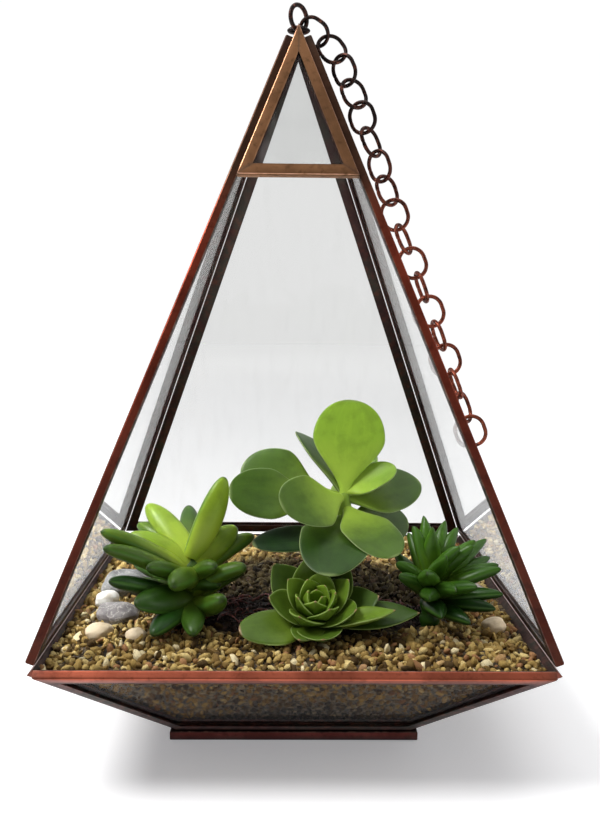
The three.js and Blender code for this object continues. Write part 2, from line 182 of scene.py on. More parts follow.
def make_piece(name, body, material, nodes=(), crease=40.0, stage=False):
    """A smooth-shaded mesh object from millimetres, with its marks as attributes."""
    points, faces, marks = body if len(body) > 2 else (*body, {})
    mesh = bpy.data.meshes.new(name)
    mesh.from_pydata((points * MM).tolist(), [], [row for f in faces for row in f.tolist()])
    for key, values in marks.items():
        wide = values.ndim == 2
        layer = mesh.attributes.new(key, "FLOAT_VECTOR" if wide else "FLOAT", "POINT")
        layer.data.foreach_set("vector" if wide else "value", values.astype(np.float32).ravel())
    mesh.polygons.foreach_set("use_smooth", np.ones(len(mesh.polygons), bool))
    mesh.set_sharp_from_angle(angle=math.radians(crease))
    mesh.materials.append(material)
    piece = bpy.data.objects.new(name, mesh)
    bpy.context.scene.collection.objects.link(piece)
    if stage:
        return piece
    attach(piece, "root")
    if nodes:
        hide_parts(*nodes)
    return piece


# ---------------------------------------------------------------- shader wiring


class Wire:
    """An output of a shader node. + - * / ** add Math nodes, or Vector Math nodes where a side is a
    vector or a colour."""

    def __init__(self, finish, socket):
        self.finish = finish
        self.socket = socket
        self.wide = socket.type in ("VECTOR", "RGBA")

    def join(self, sign, other, swapped=False):
        """This and the other by one operation, the other way round if swapped."""
        sides = [other, self] if swapped else [self, other]
        wide = any(isinstance(s, tuple) or getattr(s, "wide", False) for s in sides)
        if wide:
            sides = [(s, s, s) if isinstance(s, (int, float)) else s for s in sides]
        kind = "ShaderNodeVectorMath" if wide else "ShaderNodeMath"
        return self.finish.node(kind, {"operation": sign}, dict(enumerate(sides)))

    def __add__(self, other):
        return self.join("ADD", other)

    def __radd__(self, other):
        return self.join("ADD", other, True)

    def __sub__(self, other):
        return self.join("SUBTRACT", other)

    def __rsub__(self, other):
        return self.join("SUBTRACT", other, True)

    def __mul__(self, other):
        return self.join("MULTIPLY", other)

    def __rmul__(self, other):
        return self.join("MULTIPLY", other, True)

    def __truediv__(self, other):
        return self.join("DIVIDE", other)

    def __pow__(self, other):
        return self.join("POWER", other)

    def most(self, other):
        """The larger of the two."""
        return self.join("MAXIMUM", other)

    def size(self):
        """This without its sign."""
        return self.finish.node("ShaderNodeMath", {"operation": "ABSOLUTE"}, {0: self})

    def ranged(self, low, high, start=0.0, end=1.0):
        """From start to end in a smooth step, as this goes from low to high."""
        values = {"From Min": low, "From Max": high, "To Min": start, "To Max": end, "Value": self}
        return self.finish.node("ShaderNodeMapRange", {"interpolation_type": "SMOOTHSTEP"}, values)


class Finish:
    """A material, or the world, built from wires. here is the place on the object, in millimetres."""

    def __init__(self, name, world=False):
        owner = bpy.data.worlds.new(name) if world else bpy.data.materials.new(name)
        owner.use_nodes = True
        self.owner = owner
        self.tree = owner.node_tree
        self.tree.nodes.clear()
        self.world = world
        self.here = self.node("ShaderNodeTexCoord", out="Generated" if world else "Object")
        if not world:
            self.here = self.here * (1 / MM)

    def node(self, kind, settings=None, values=None, out=0):
        """Adds a node of this kind, with its settings and its inputs' values or wires; gives one output."""
        added = self.tree.nodes.new(kind)
        for key, setting in (settings or {}).items():
            setattr(added, key, setting)
        for key, value in (values or {}).items():
            if isinstance(value, Wire):
                self.tree.links.new(value.socket, added.inputs[key])
            elif isinstance(value, tuple) and added.inputs[key].type == "RGBA":
                added.inputs[key].default_value = (*value, 1.0)[:4]
            else:
                added.inputs[key].default_value = value
        return Wire(self, added.outputs[out])

    def mark(self, name, out="Fac"):
        """A mark that the mesh carries, out "Vector" for those of three numbers."""
        return self.node("ShaderNodeAttribute", {"attribute_name": name}, out=out)

    def parts(self, vector):
        """A vector's x, y and z."""
        split = self.node("ShaderNodeSeparateXYZ", values={0: vector}).socket.node
        return [Wire(self, split.outputs[k]) for k in range(3)]

    def vector(self, *parts):
        """One vector of x, y and z."""
        return self.node("ShaderNodeCombineXYZ", values=dict(enumerate(parts)))

    def noise(self, where, scale, detail=3.0, rough=0.55, warp=0.0):
        """Soft clouds between 0 and 1, 1 / scale mm in size."""
        values = {"Vector": where, "Scale": scale, "Detail": detail, "Roughness": rough, "Distortion": warp}
        return self.node("ShaderNodeTexNoise", values=values)

    def cells(self, where, scale, feature="F1", out="Distance"):
        """Cells 1 / scale mm in size, by the distance from their middles or edges, or each one's colour."""
        values = {"Vector": where, "Scale": scale}
        return self.node("ShaderNodeTexVoronoi", {"feature": feature}, values, out)

    def mix(self, factor, a, b):
        """Colour a where factor is 0, and b where it is 1."""
        return self.node("ShaderNodeMix", {"data_type": "RGBA"}, {0: factor, 6: a, 7: b}, 2)

    def steps(self, value, first, *stops):
        """Colours in turn as value grows: each stop is (from, to, colour)."""
        colour = first
        for low, high, after in stops:
            colour = self.mix(value.ranged(low, high), colour, after)
        return colour

    def bump(self, height, strength, distance):
        """A normal from a height between 0 and 1 that stands for distance, in millimetres."""
        values = {"Height": height, "Strength": strength, "Distance": distance * MM}
        return self.node("ShaderNodeBump", values=values, out="Normal")

    def skin(self, **values):
        """A Principled shader; underscores stand for the spaces in its inputs' names."""
        named = {key.replace("_", " "): value for key, value in values.items()}
        return self.node("ShaderNodeBsdfPrincipled", values=named)

    def blend(self, factor, a, b):
        """Shader a where factor is 0, and b where it is 1."""
        return self.node("ShaderNodeMixShader", values={0: factor, 1: a, 2: b})

    def coat(self, **values):
        """The finish as one Principled shader."""
        return self.done(self.skin(**values))

    def done(self, shader):
        """Ends the finish with this shader and gives its material or world."""
        kind = "ShaderNodeOutputWorld" if self.world else "ShaderNodeOutputMaterial"
        end = self.tree.nodes.new(kind)
        self.tree.links.new(shader.socket, end.inputs["Surface"])
        return self.owner


# ---------------------------------------------------------------- metal and glass finishes


def copper_patina():
    """Copper-plated came with clouds and fine rolling lines, its colour set per panel as lit and shaded
    copies of one copper. The roundings are rubbed bright, partly real wear and partly a painted highlight;
    it is black in its groove and corners, where the patina solution gathered; and painted shade blackens
    its inner face and its lower parts."""
    f = Finish("copper_patina")
    clouds = f.noise(f.here, 0.05, 4.0, 0.6)
    blots = f.noise(f.here + (31.0, 7.0, 3.0), 0.35, 4.0, 0.65)
    grit = f.noise(f.here, 3.0, 2.0)
    along, rim = f.parts(f.mark("strip", "Vector"))[:2]
    rolled = f.noise(f.vector(along * 0.04, rim * 3.0), 2.0, 3.0)
    # Each panel's copper colour: lit and shaded copies of one copper, with painted shade darkening the side
    # strips near the top.
    plate = f.mark("plate", "Vector")
    copper = f.mix(clouds.ranged(0.35, 0.68), plate * 0.72, plate * 1.25)
    copper = f.mix(blots.ranged(0.5, 0.72, 0.0, 0.6), copper, plate * 0.35)
    copper = f.mix(rolled.ranged(0.55, 0.75, 0.0, 0.3), copper, plate * 1.6 + (0.03, 0.03, 0.02))
    # Bright copper on the roundings: partly real wear, partly a painted highlight.
    rubbed = f.mark("worn").ranged(0.3, 1.0, 0.0, 0.75) * blots.ranged(0.75, 0.3)
    copper = f.mix(rubbed, copper, (0.80, 0.44, 0.33))
    # Near-black colour: patina in the groove and corners, painted shade on the inner face and low down.
    wash_and_shade = f.mix(clouds.ranged(0.4, 0.6), (0.034, 0.011, 0.010), (0.034, 0.029, 0.022))
    washed_and_shaded = f.mark("hollow").ranged(0.1, 0.9) * blots.ranged(0.2, 0.6, 0.7, 1.0)
    copper = f.mix(washed_and_shaded, copper, wash_and_shade)
    rough = 0.2 + 0.2 * blots + 0.16 * washed_and_shaded + 0.08 * grit
    height = 0.5 * grit + 0.5 * rolled
    metal = 0.95 - 0.35 * washed_and_shaded
    return f.coat(Base_Color=copper, Metallic=metal, Roughness=rough, Normal=f.bump(height, 0.35, 0.05))


def black_copper():
    """Blackened wire, rubbed back to reddish copper in spots, and more so lower down the chain."""
    f = Finish("black_copper")
    spots = f.noise(f.here, 0.45, 3.0, 0.6)
    grit = f.noise(f.here, 4.0, 2.0)
    low = f.parts(f.here)[2].ranged(225.0, 165.0)
    rubbed, bare = (0.09, 0.034, 0.024), (0.42, 0.17, 0.10)
    colour = f.steps(spots, (0.020, 0.013, 0.012), (0.48, 0.64, rubbed), (0.64, 0.8, bare))
    colour = f.mix(low * spots.ranged(0.3, 0.55, 0.2, 0.8), colour, (0.27, 0.065, 0.035))
    rough = 0.24 + 0.3 * grit + 0.1 * spots
    return f.coat(Base_Color=colour, Metallic=0.9, Roughness=rough, Normal=f.bump(grit, 0.4, 0.05))


def pane_glass(name, bend, dustiness, tint):
    """Clear sheet glass, greyed by tint, with a breath of dust in streaks. Lamps shine through it."""
    f = Finish(name)
    x, y, z = f.parts(f.here)
    streaks = f.noise(f.vector(x * 0.22, y * 0.22, z * 0.02), 1.0, 4.0)
    dust = streaks.ranged(0.45, 0.8, 0.0, dustiness)
    clear = f.skin(
        Base_Color=(tint, tint * 1.006, tint),
        Roughness=0.01 + 0.015 * streaks,
        Transmission_Weight=1.0,
        IOR=bend,
    )
    film = f.skin(Base_Color=f.mix(streaks, (0.70, 0.72, 0.71), (0.85, 0.85, 0.84)), Roughness=0.6)
    open_way = f.node("ShaderNodeBsdfTransparent", values={"Color": (0.90, 0.91, 0.905)})
    lamp = f.node("ShaderNodeLightPath", out="Is Shadow Ray")
    return f.done(f.blend(lamp, f.blend(dust, clear, film), open_way))


# ---------------------------------------------------------------- ground finishes


def grit_colour(f):
    """Tan, olive, cream, reddish brown and dark grains, by each grain's own number; darkened below the rim
    as painted shade, and round the soil as a painted shadow of the plants."""
    grain = f.mark("grain")
    colour = f.steps(
        grain,
        (0.065, 0.038, 0.013),
        (0.10, 0.16, (0.19, 0.115, 0.034)),
        (0.30, 0.36, (0.34, 0.225, 0.068)),
        (0.54, 0.58, (0.46, 0.325, 0.11)),
        (0.74, 0.78, (0.62, 0.475, 0.20)),
        (0.90, 0.92, (0.34, 0.17, 0.075)),
        (0.965, 0.975, (0.74, 0.63, 0.38)),
    )
    speck = f.noise(f.here, 1.6, 3.0, 0.65)
    colour = f.mix(speck.ranged(0.45, 0.7, 0.0, 0.45), colour, (0.12, 0.072, 0.024))
    x, y, z = f.parts(f.here)
    far = ((x - SOIL["x"]) / (SOIL["rx"] + 5.0)) ** 2 + ((y + 8.0) / 50.0) ** 2
    # Painted shade: the grains darkened below the rim.
    colour = colour * f.mix(z.ranged(35.0, 41.5), (0.40, 0.30, 0.17), (1.0, 1.0, 1.0))
    # Painted shadow: the grains darkened round the soil, under the plants.
    plant_shadow = (far + 0.7 * (speck - 0.5)).ranged(0.6, 1.3, 0.1, 1.0)
    return colour * plant_shadow, speck


def gravel_grit():
    """The loose grains: matte and pitted."""
    f = Finish("gravel_grit")
    colour, speck = grit_colour(f)
    pits = f.noise(f.here, 2.6, 3.0, 0.6)
    rough, pitted = 0.62 + 0.3 * speck, f.bump(pits, 0.6, 0.35)
    return f.coat(Base_Color=colour, Roughness=rough, Specular_IOR_Level=0.15, Normal=pitted)


def gravel_bed():
    """What lies in the gaps between the loose grains, with smaller grains in it: dark as painted shade in
    the gaps, and near black as painted shade in the cracks between its small grains.
    """
    f = Finish("gravel_bed")
    grains = f.cells(f.here, 0.42, out="Color")
    edge = f.cells(f.here, 0.42, "DISTANCE_TO_EDGE")
    shade = f.parts(grains)[0]
    colour = f.mix(shade, (0.05, 0.032, 0.014), (0.17, 0.115, 0.05))
    # Painted shade: near black in the cracks between the small grains.
    colour = f.mix(edge.ranged(0.02, 0.16), (0.018, 0.012, 0.008), colour)
    return f.coat(Base_Color=colour, Roughness=0.85 + 0.1 * shade, Normal=f.bump(edge, 0.8, 1.2))


def dark_soil():
    """Near-black soil with brown and reddish lumps."""
    f = Finish("dark_soil")
    lumps = f.noise(f.here, 0.5, 5.0, 0.65)
    crumbs = f.cells(f.here, 0.9)
    brown, reddish = (0.045, 0.022, 0.014), (0.11, 0.045, 0.03)
    colour = f.steps(lumps, (0.010, 0.006, 0.005), (0.4, 0.62, brown), (0.62, 0.8, reddish))
    height = 0.6 * lumps + 0.4 * crumbs
    return f.coat(Base_Color=colour, Roughness=0.75 + 0.2 * lumps, Normal=f.bump(height, 0.9, 0.9))


def root_bark():
    """Dry rootlets, dark red to tan."""
    f = Finish("root_bark")
    tint = f.noise(f.here, 0.7, 3.0)
    red, tan = (0.16, 0.04, 0.03), (0.33, 0.17, 0.10)
    colour = f.steps(tint, (0.05, 0.012, 0.010), (0.42, 0.58, red), (0.62, 0.75, tan))
    return f.coat(Base_Color=colour, Roughness=0.55 + 0.3 * tint, Normal=f.bump(tint, 0.5, 0.2))


def grey_stone():
    """Slate grey to purple-grey, with paler veins and pits; each stone leans its own way by its mark."""
    f = Finish("grey_stone")
    clouds = f.noise(f.here, 0.13, 5.0, 0.6)
    fine = f.noise(f.here, 1.4, 4.0, 0.65)
    vein = f.noise(f.here + (9.0, 4.0, 2.0), 0.22, 4.0, 0.5, 1.2) - 0.5
    tone = f.mark("tone")
    cool = f.mix(clouds.ranged(0.35, 0.65), (0.085, 0.088, 0.092), (0.27, 0.275, 0.275))
    warm = f.mix(clouds.ranged(0.35, 0.65), (0.17, 0.125, 0.125), (0.40, 0.32, 0.30))
    colour = f.mix(tone, cool, warm)
    colour = f.mix(vein.size().ranged(0.0, 0.03, 0.5, 0.0), colour, (0.55, 0.52, 0.48))
    colour = f.mix(fine.ranged(0.5, 0.75, 0.0, 0.4), colour, (0.08, 0.07, 0.07))
    return f.coat(Base_Color=colour, Roughness=0.5 + 0.3 * fine, Normal=f.bump(fine + clouds, 0.5, 0.5))


def pale_pebble():
    """Cream pebbles; the mark leans them towards white, tan or pink."""
    f = Finish("pale_pebble")
    clouds = f.noise(f.here, 0.28, 4.0, 0.6)
    fine = f.noise(f.here, 2.0, 3.0, 0.65)
    tone = f.mark("tone")
    cream, pink, tan = (0.66, 0.53, 0.36), (0.62, 0.40, 0.28), (0.42, 0.31, 0.18)
    base = f.steps(tone, (0.74, 0.72, 0.67), (0.2, 0.3, cream), (0.55, 0.65, pink), (0.8, 0.9, tan))
    colour = f.mix(clouds.ranged(0.45, 0.7, 0.0, 0.5), base, (0.40, 0.27, 0.15))
    return f.coat(Base_Color=colour, Roughness=0.4 + 0.35 * fine, Normal=f.bump(fine, 0.35, 0.3))


# ---------------------------------------------------------------- leaf finishes


def leaf_skin(name, old, young, root, rim, tip, shine, soft, rim_at):
    """A fleshy leaf's skin. Its colours go from old to young by the leaf's age mark, to the root colour
    towards its root, to the rim colour along its edges and to the tip colour at its point, with faint
    lines along it; its underside is darkened by half as painted shade."""
    f = Finish(name)
    t, across, up = f.parts(f.mark("spot", "Vector"))
    age, lot = f.parts(f.mark("age", "Vector"))[:2]
    mottle = f.noise(f.here, 0.16, 4.0, 0.6)
    fine = f.noise(f.here, 1.6, 3.0)
    line = f.noise(f.vector(t * 2.2, across * 7.0, lot * 40.0), 1.0, 3.0)
    colour = f.mix(age, old, young)
    colour = f.mix(line.ranged(0.45, 0.75, 0.0, 0.22), colour, colour * 1.4 + (0.015, 0.02, 0.0))
    colour = f.mix(mottle.ranged(0.42, 0.7, 0.0, 0.45), colour, colour * 0.55)
    near_root = (t + 0.25 * (mottle - 0.5)).ranged(0.75, 0.05)
    colour = f.mix(near_root * age.ranged(0.0, 0.35, 0.12, 0.9), colour, root)
    edge = across.size() + 0.02 * (fine - 0.5)
    colour = f.mix(edge.ranged(rim_at, 0.995, 0.0, 0.7), colour, rim)
    colour = f.mix((t + 0.03 * (mottle - 0.5)).ranged(0.96, 1.0, 0.0, 0.8), colour, tip)
    # Painted shade: each leaf's underside darkened by half.
    colour = f.mix(up.ranged(-0.1, -0.8, 0.0, 0.5), colour, colour * 0.5)
    height = 0.3 * line + 0.5 * fine + 0.2 * mottle
    return f.coat(
        Base_Color=colour,
        Roughness=shine + 0.16 * fine + 0.12 * mottle,
        Normal=f.bump(height, 0.22, 0.3),
        Subsurface_Weight=soft,
        Subsurface_Radius=(0.6, 1.0, 0.25),
        Subsurface_Scale=0.0025,
        IOR=1.42,
        Specular_IOR_Level=0.28,
    )


# ---------------------------------------------------------------- copper cames


def inset(outline, d):
    """The convex outline (n, 2) moved inwards by d: corner + (b - a) d / (a x b), with a and b the
    directions of its edges before and after that corner."""
    a = unit(outline - np.roll(outline, 1, 0))
    b = unit(np.roll(outline, -1, 0) - outline)
    turn = a[:, 0] * b[:, 1] - a[:, 1] * b[:, 0]
    return outline + (b - a) * (d / turn)[:, None]


def strip_profile(thickness):
    """The came's section as (distance in from its outer edge, height), going round it: softly domed
    faces, rounded edges, and the groove that holds the glass. The third number is how deep a point
    lies in the groove, and the fourth is how far it stands out on a rounding."""
    near = (thickness - GLASS_T) / 2 - PLAY
    far = thickness - near
    lip = near / 2
    across = np.linspace(ROUNDING, CAME_W - 0.3, 7)
    dome = 0.16 * (2 * across / CAME_W - 1) ** 2
    turn = np.linspace(0, np.pi / 2, 5)
    inwards = ROUNDING * (1 - np.sin(turn))
    rise = 0.07 + 0.6 * (1 - np.cos(turn))
    round_out = np.sin(2 * turn)
    none = np.zeros(3)
    lower = np.stack([across[::-1], dome[::-1], 0 * across, 0 * across], -1)
    bend = np.stack([inwards, rise, 0 * turn, round_out], -1)
    edge = np.stack([none, np.linspace(1.1, thickness - 1.1, 3), none, none], -1)
    bend_up = np.stack([inwards[::-1], thickness - rise[::-1], 0 * turn, round_out], -1)
    upper = np.stack([across, thickness - dome, 0 * across, 0 * across], -1)
    inner = [
        [CAME_W - 0.06, thickness - 0.3 * lip, 0.2, 0.8],
        [CAME_W, thickness - lip, 0.4, 0],
        [CAME_W - 0.1, far, 0.9, 0],
        [GLASS_IN - PLAY, far, 1.0, 0],
        [GLASS_IN - PLAY, near, 1.0, 0],
        [CAME_W - 0.1, near, 0.9, 0],
        [CAME_W, lip, 0.5, 0],
        [CAME_W - 0.06, 0.3 * lip, 0.2, 0.3],
    ]
    return np.concatenate([lower, bend, edge, bend_up, upper, inner])


# Patina and painted light of each panel's strip: its colour, lit and shaded copies of one copper; the
# heights between which painted shade blackens it downwards, how black that painted shade is below
# them; and how bright its outer roundings are, partly wear and partly painted highlight.
PATINA_AND_LIGHT = {
    "side": ((0.22, 0.040, 0.021), 40.0, 220.0, 0.55, 0.15),
    "cap_front": ((0.29, 0.140, 0.066), 150.0, 151.0, 0.0, 0.8),
    "base_front": ((0.36, 0.090, 0.050), 37.0, 39.0, 0.9, 0.4),
    "base": ((0.30, 0.075, 0.045), 37.0, 39.0, 0.9, 0.4),
    "foot": ((0.14, 0.035, 0.030), 0.0, 3.0, 0.8, 0.3),
}
# Painted shade: how black each strip's inner face is painted.
INNER_PAINTED_SHADE = 0.95
CORNER_BLACK = 0.55
# Painted shade: the side strips' colour darkens to this bronze from a little below the cap upwards.
SIDE_TOP_SHADED_PLATE = (0.085, 0.040, 0.024)  # the side strips' bronze, from a little below the cap upwards
SIDE_TOP_Z = CAP_Z - 22.0
STRIP_STEPS = 16  # points along each edge
PRESS = 0.05


def came(name, corners, thickness, material, seed, patina):
    """A came frame: its section carried round the panel's outline with mitred corners. A point at
    (d, h) of the section lies on the outline moved inwards by d, and h out from the panel's inner face,
    pressed in by a little smooth noise away from the corners."""
    corners = np.array(corners, float)
    u = unit(corners[1] - corners[0])
    w = unit(np.cross(u, corners[2] - corners[0]))
    v = np.cross(w, u)
    flat = np.stack([(corners - corners[0]) @ u, (corners - corners[0]) @ v], -1)
    outline = inset(flat, SEAM)
    profile = strip_profile(thickness)
    loops = np.stack([inset(outline, d) for d in profile[:, 0]])
    share = np.arange(STRIP_STEPS) / STRIP_STEPS
    after = np.roll(loops, -1, 1)
    run = loops[:, :, None] + (after - loops)[:, :, None] * share[None, None, :, None]
    run = run.reshape(len(profile), -1, 2)
    places = corners[0] + run[..., :1] * u + run[..., 1:] * v + profile[:, None, 1:2] * w
    share_out = profile[:, 1:2] / thickness
    press = PRESS * waves(places, seed, 34.0) * np.tile(np.sin(np.pi * share), len(corners))
    places = places - w * (np.abs(press) * np.sign(share_out - 0.5))[..., None]
    lengths = np.concatenate([[0], np.cumsum(np.linalg.norm(np.diff(run[10], axis=0), axis=1))])
    rows, cols = places.shape[:2]
    strip = np.stack(np.broadcast_arrays(lengths, profile[:, :1], 0.0), -1)
    corner = np.tile(1 - smooth(18 * np.minimum(share, 1 - share)), len(corners))
    plate, dark_z, clear_z, low_painted_shade, outer_worn_and_highlight = PATINA_AND_LIGHT[patina]
    hollow = np.maximum(profile[:, 2:3], CORNER_BLACK * corner)
    # Painted shade: the inner face blackened, and the strip blackened downwards below clear_z.
    hollow = np.maximum(hollow, INNER_PAINTED_SHADE * smooth((0.2 - share_out) / 0.12))
    hollow = np.maximum(hollow, low_painted_shade * smooth((clear_z - places[..., 2]) / (clear_z - dark_z)))
    # Roundings marked for bright copper, partly real wear and partly a painted highlight.
    worn = profile[:, 3:4] * np.where(share_out > 0.5, outer_worn_and_highlight, 1.0) * np.ones((1, cols))
    # Painted shade: the side strips darken towards that bronze near the top.
    high = smooth((places[..., 2:] - SIDE_TOP_Z) / 26.0) * (patina == "side")
    lit_plates = np.array(plate) * (1 - high) + np.array(SIDE_TOP_SHADED_PLATE) * high
    body = outward(places.reshape(-1, 3), [lattice(rows, cols, True, True)])
    marks = {
        "strip": strip.reshape(-1, 3),
        "plate": lit_plates.reshape(-1, 3),
        "hollow": hollow.ravel(),
        "worn": worn.ravel(),
    }
    make_piece(f"strip_{name}", (*body, marks), material, [f"came_{name}"], 28.0)


def half_at(z):
    """Half the pyramid's width at a height: it shrinks evenly to nothing at the apex."""
    return UPPER_HALF * (APEX_Z - z) / (APEX_Z - UPPER_Z)


def ring_of_corners(half, z):
    """A level square's corners, from front left round by the right."""
    return [(-half, -half, z), (half, -half, z), (half, half, z), (-half, half, z)]


def all_cames(material):
    """The nine frames, their corners in turn so that each panel's third axis points out of the holder."""
    low = ring_of_corners(UPPER_HALF, UPPER_Z)
    high = ring_of_corners(half_at(BLUNT_Z), BLUNT_Z)
    for i, side in enumerate(("right", "back", "left")):
        j = (i + 2) % 4
        came(side, [low[i + 1], low[j], high[j], high[i + 1]], CAME_T, material, 3 + i, "side")
    cap = ring_of_corners(half_at(CAP_Z), CAP_Z)
    came("cap_front", [cap[0], cap[1], (0, 0, APEX_Z)], CAME_T, material, 7, "cap_front")
    low = ring_of_corners(BASE_LOW_HALF, BASE_LOW_Z)
    high = ring_of_corners(BASE_TOP_HALF, BASE_TOP_Z)
    for i, side in enumerate(("front", "right", "back", "left")):
        j = (i + 1) % 4
        patina = "base_front" if side == "front" else "base"
        came(f"base_{side}", [low[i], low[j], high[j], high[i]], CAME_T, material, 11 + i, patina)
    foot = ring_of_corners(FOOT_HALF, FOOT_T)
    came("foot", [foot[1], foot[0], foot[3], foot[2]], FOOT_T, material, 19, "foot")


# ---------------------------------------------------------------- ring and chain


def wire_loop(centre, across, radius, out, middle, rough_seed, seam_at=None):
    """Round wire along a closed flat line: each point is ringed by radius (cos a out + sin a up)."""
    a = turns(WIRE_SIDES)[None, :, None]
    r = np.full(len(centre), radius)
    if seam_at is not None:
        r = r * (1 - 0.16 * np.exp(-((np.arange(len(centre)) - seam_at) ** 2) / 0.8))
    ways = np.cos(a) * out[:, None] + np.sin(a) * UP
    points = (centre[:, None] + ways * r[:, None, None]).reshape(-1, 3)
    rough = 0.018 * waves(points, rough_seed, 3.0)
    points = points + unit(points - np.repeat(centre, WIRE_SIDES, 0)) * rough[:, None]
    points = middle + points @ across
    return outward(points, [lattice(len(centre), WIRE_SIDES, True, True)])


def link_body(basis, middle, seed):
    """A link: a circle of wire whose two halves are drawn apart along x, closed by a butt seam."""
    stretch = LINK_PITCH / 2 + WIRE_R + LINK_PLAY - LINK_R
    half = np.linspace(-np.pi / 2, np.pi / 2, 24)
    angle = np.concatenate([half, half + np.pi])
    shift = np.repeat([stretch, -stretch], 24)
    straight = np.linspace(1, -1, 6)[1:-1] * stretch
    top = np.stack([straight, 0 * straight + LINK_R, 0 * straight], -1)
    bottom = top * (-1, -1, 1)
    arc = np.stack([LINK_R * np.cos(angle) + shift, LINK_R * np.sin(angle), 0 * angle], -1)
    line = np.concatenate([arc[:24], top, arc[24:], bottom])
    out_arc = np.stack([np.cos(angle), np.sin(angle), 0 * angle], -1)
    out_top = np.tile([0.0, 1.0, 0.0], (4, 1))
    out = np.concatenate([out_arc[:24], out_top, out_arc[24:], -out_top])
    return wire_loop(line, basis, WIRE_R, out, middle, seed, 26)


CHAIN_POINTS = np.array([
    [1.9, 3.9, 255.1], [9.2, 3.4, 250.2], [14.2, 1.6, 243.8], [17.8, 0, 236.2], [21.4, -2, 227.4],
    [24.2, -3, 218.8], [27.6, -4, 210.4], [30.6, -5, 202], [33.2, -6.5, 193.4], [36, -8, 184.6],
    [39.6, -9, 175.6], [43.2, -10, 166.6], [46.6, -11, 157.6], [56.9, -13, 130], [68.6, -14, 99.4],
])
LINK_TURNS = [36, -15, 40, -28, 25, -50, 45, -40, 14, -62, 2, 84, 6, 80, -4, 86, -58, 12]


def chain_line():
    """The chain's middle line: a cubic between each two points, its end tangents weighed by the roots
    of the distances between them. It gives points and their distance along it."""
    before = 2 * CHAIN_POINTS[:1] - CHAIN_POINTS[1:2]
    beyond = 2 * CHAIN_POINTS[-1:] - CHAIN_POINTS[-2:-1]
    p = np.concatenate([before, CHAIN_POINTS, beyond])
    gap = np.sqrt(np.linalg.norm(np.diff(p, axis=0), axis=1))[:, None]
    x0, x1, x2, x3 = p[:-3], p[1:-2], p[2:-1], p[3:]
    g0, g1, g2 = gap[:-2], gap[1:-1], gap[2:]
    start = ((x1 - x0) / g0 - (x2 - x0) / (g0 + g1) + (x2 - x1) / g1) * g1
    end = ((x2 - x1) / g1 - (x3 - x1) / (g1 + g2) + (x3 - x2) / g2) * g1
    t = np.linspace(0, 1, 80, endpoint=False)[None, :, None]
    x1, x2, start, end = (a[:, None] for a in (x1, x2, start, end))
    line = x1 + start * t + (3 * (x2 - x1) - 2 * start - end) * t**2 + (2 * (x1 - x2) + start + end) * t**3
    line = line.reshape(-1, 3)
    far = np.concatenate([[0], np.cumsum(np.linalg.norm(np.diff(line, axis=0), axis=1))])
    return line, far


def chain(material):
    """Each link lies between two points of the line that are a pitch apart, turned about its length."""
    line, far = chain_line()
    joints = np.arange(len(LINK_TURNS) + 1) * LINK_PITCH
    joints = np.stack([np.interp(joints, far, line[:, c]) for c in range(3)], -1)
    for i, turn in enumerate(LINK_TURNS):
        along = unit(joints[i + 1] - joints[i])
        up = unit(-np.cross([0, -1, 0], along))
        a = math.radians(turn)
        across = up * math.cos(a) + np.cross(along, up) * math.sin(a)
        basis = np.stack([along, across, np.cross(along, across)])
        body = link_body(basis, (joints[i] + joints[i + 1]) / 2, 40 + i)
        make_piece(f"link_{i + 1:02d}", body, material, [f"chain_link_{i + 1:02d}"])


def ball(centre, radii, rows=20, cols=28):
    """An ellipsoid as rings from pole to pole: centre + radii (sin v cos u, sin v sin u, cos v). It gives
    the points, and their directions as in a ball."""
    v = np.linspace(0.04, np.pi - 0.04, rows)[:, None]
    u = turns(cols)[None, :]
    ways = np.stack([np.sin(v) * np.cos(u), np.sin(v) * np.sin(u), np.cos(v) + 0 * u], -1)
    return np.array(centre) + ways * np.array(radii), ways


def hanging_ring(material):
    """The upright ring, turned to the right, and the uneven bead of solder that holds it."""
    turn = math.radians(RING_TURN)
    c, s = math.cos(turn), math.sin(turn)
    a = turns(72)
    out = np.stack([np.cos(a), np.sin(a), 0 * a], -1)
    flat = np.array([[c, s, 0], [0, 0, 1], [s, -c, 0]])
    loop = wire_loop(out * RING_R, flat, WIRE_R + 0.1, out, np.array(RING_MIDDLE), 8)
    rings, ways = ball(BEAD_MIDDLE, BEAD_HALF)
    flow = waves(rings.reshape(-1, 3), 5, 3.5).reshape(rings.shape[:2])
    rings = rings - ways * (0.12 * (1 + flow))[..., None]
    body = gather([loop, capped(rings)])
    make_piece("ring_and_solder", body, material, ["hanging_ring"])


# ---------------------------------------------------------------- gravel and soil


def gravel_half(z):
    """Half the gravel's width at a height, a little inside the sloping panes."""
    wider = (z - BASE_LOW_Z) * (BASE_TOP_HALF - BASE_LOW_HALF) / (BASE_TOP_Z - BASE_LOW_Z)
    return BASE_LOW_HALF + wider - 1.5 * REST


def gravel_level(x, y):
    """The gravel's height: it rises softly from its edge and is flat further in."""
    edge = 1 - np.maximum(np.abs(x), np.abs(y)) / gravel_half(GRAVEL_EDGE_Z)
    return GRAVEL_EDGE_Z + GRAVEL_MOUND * smooth(edge / 0.3)


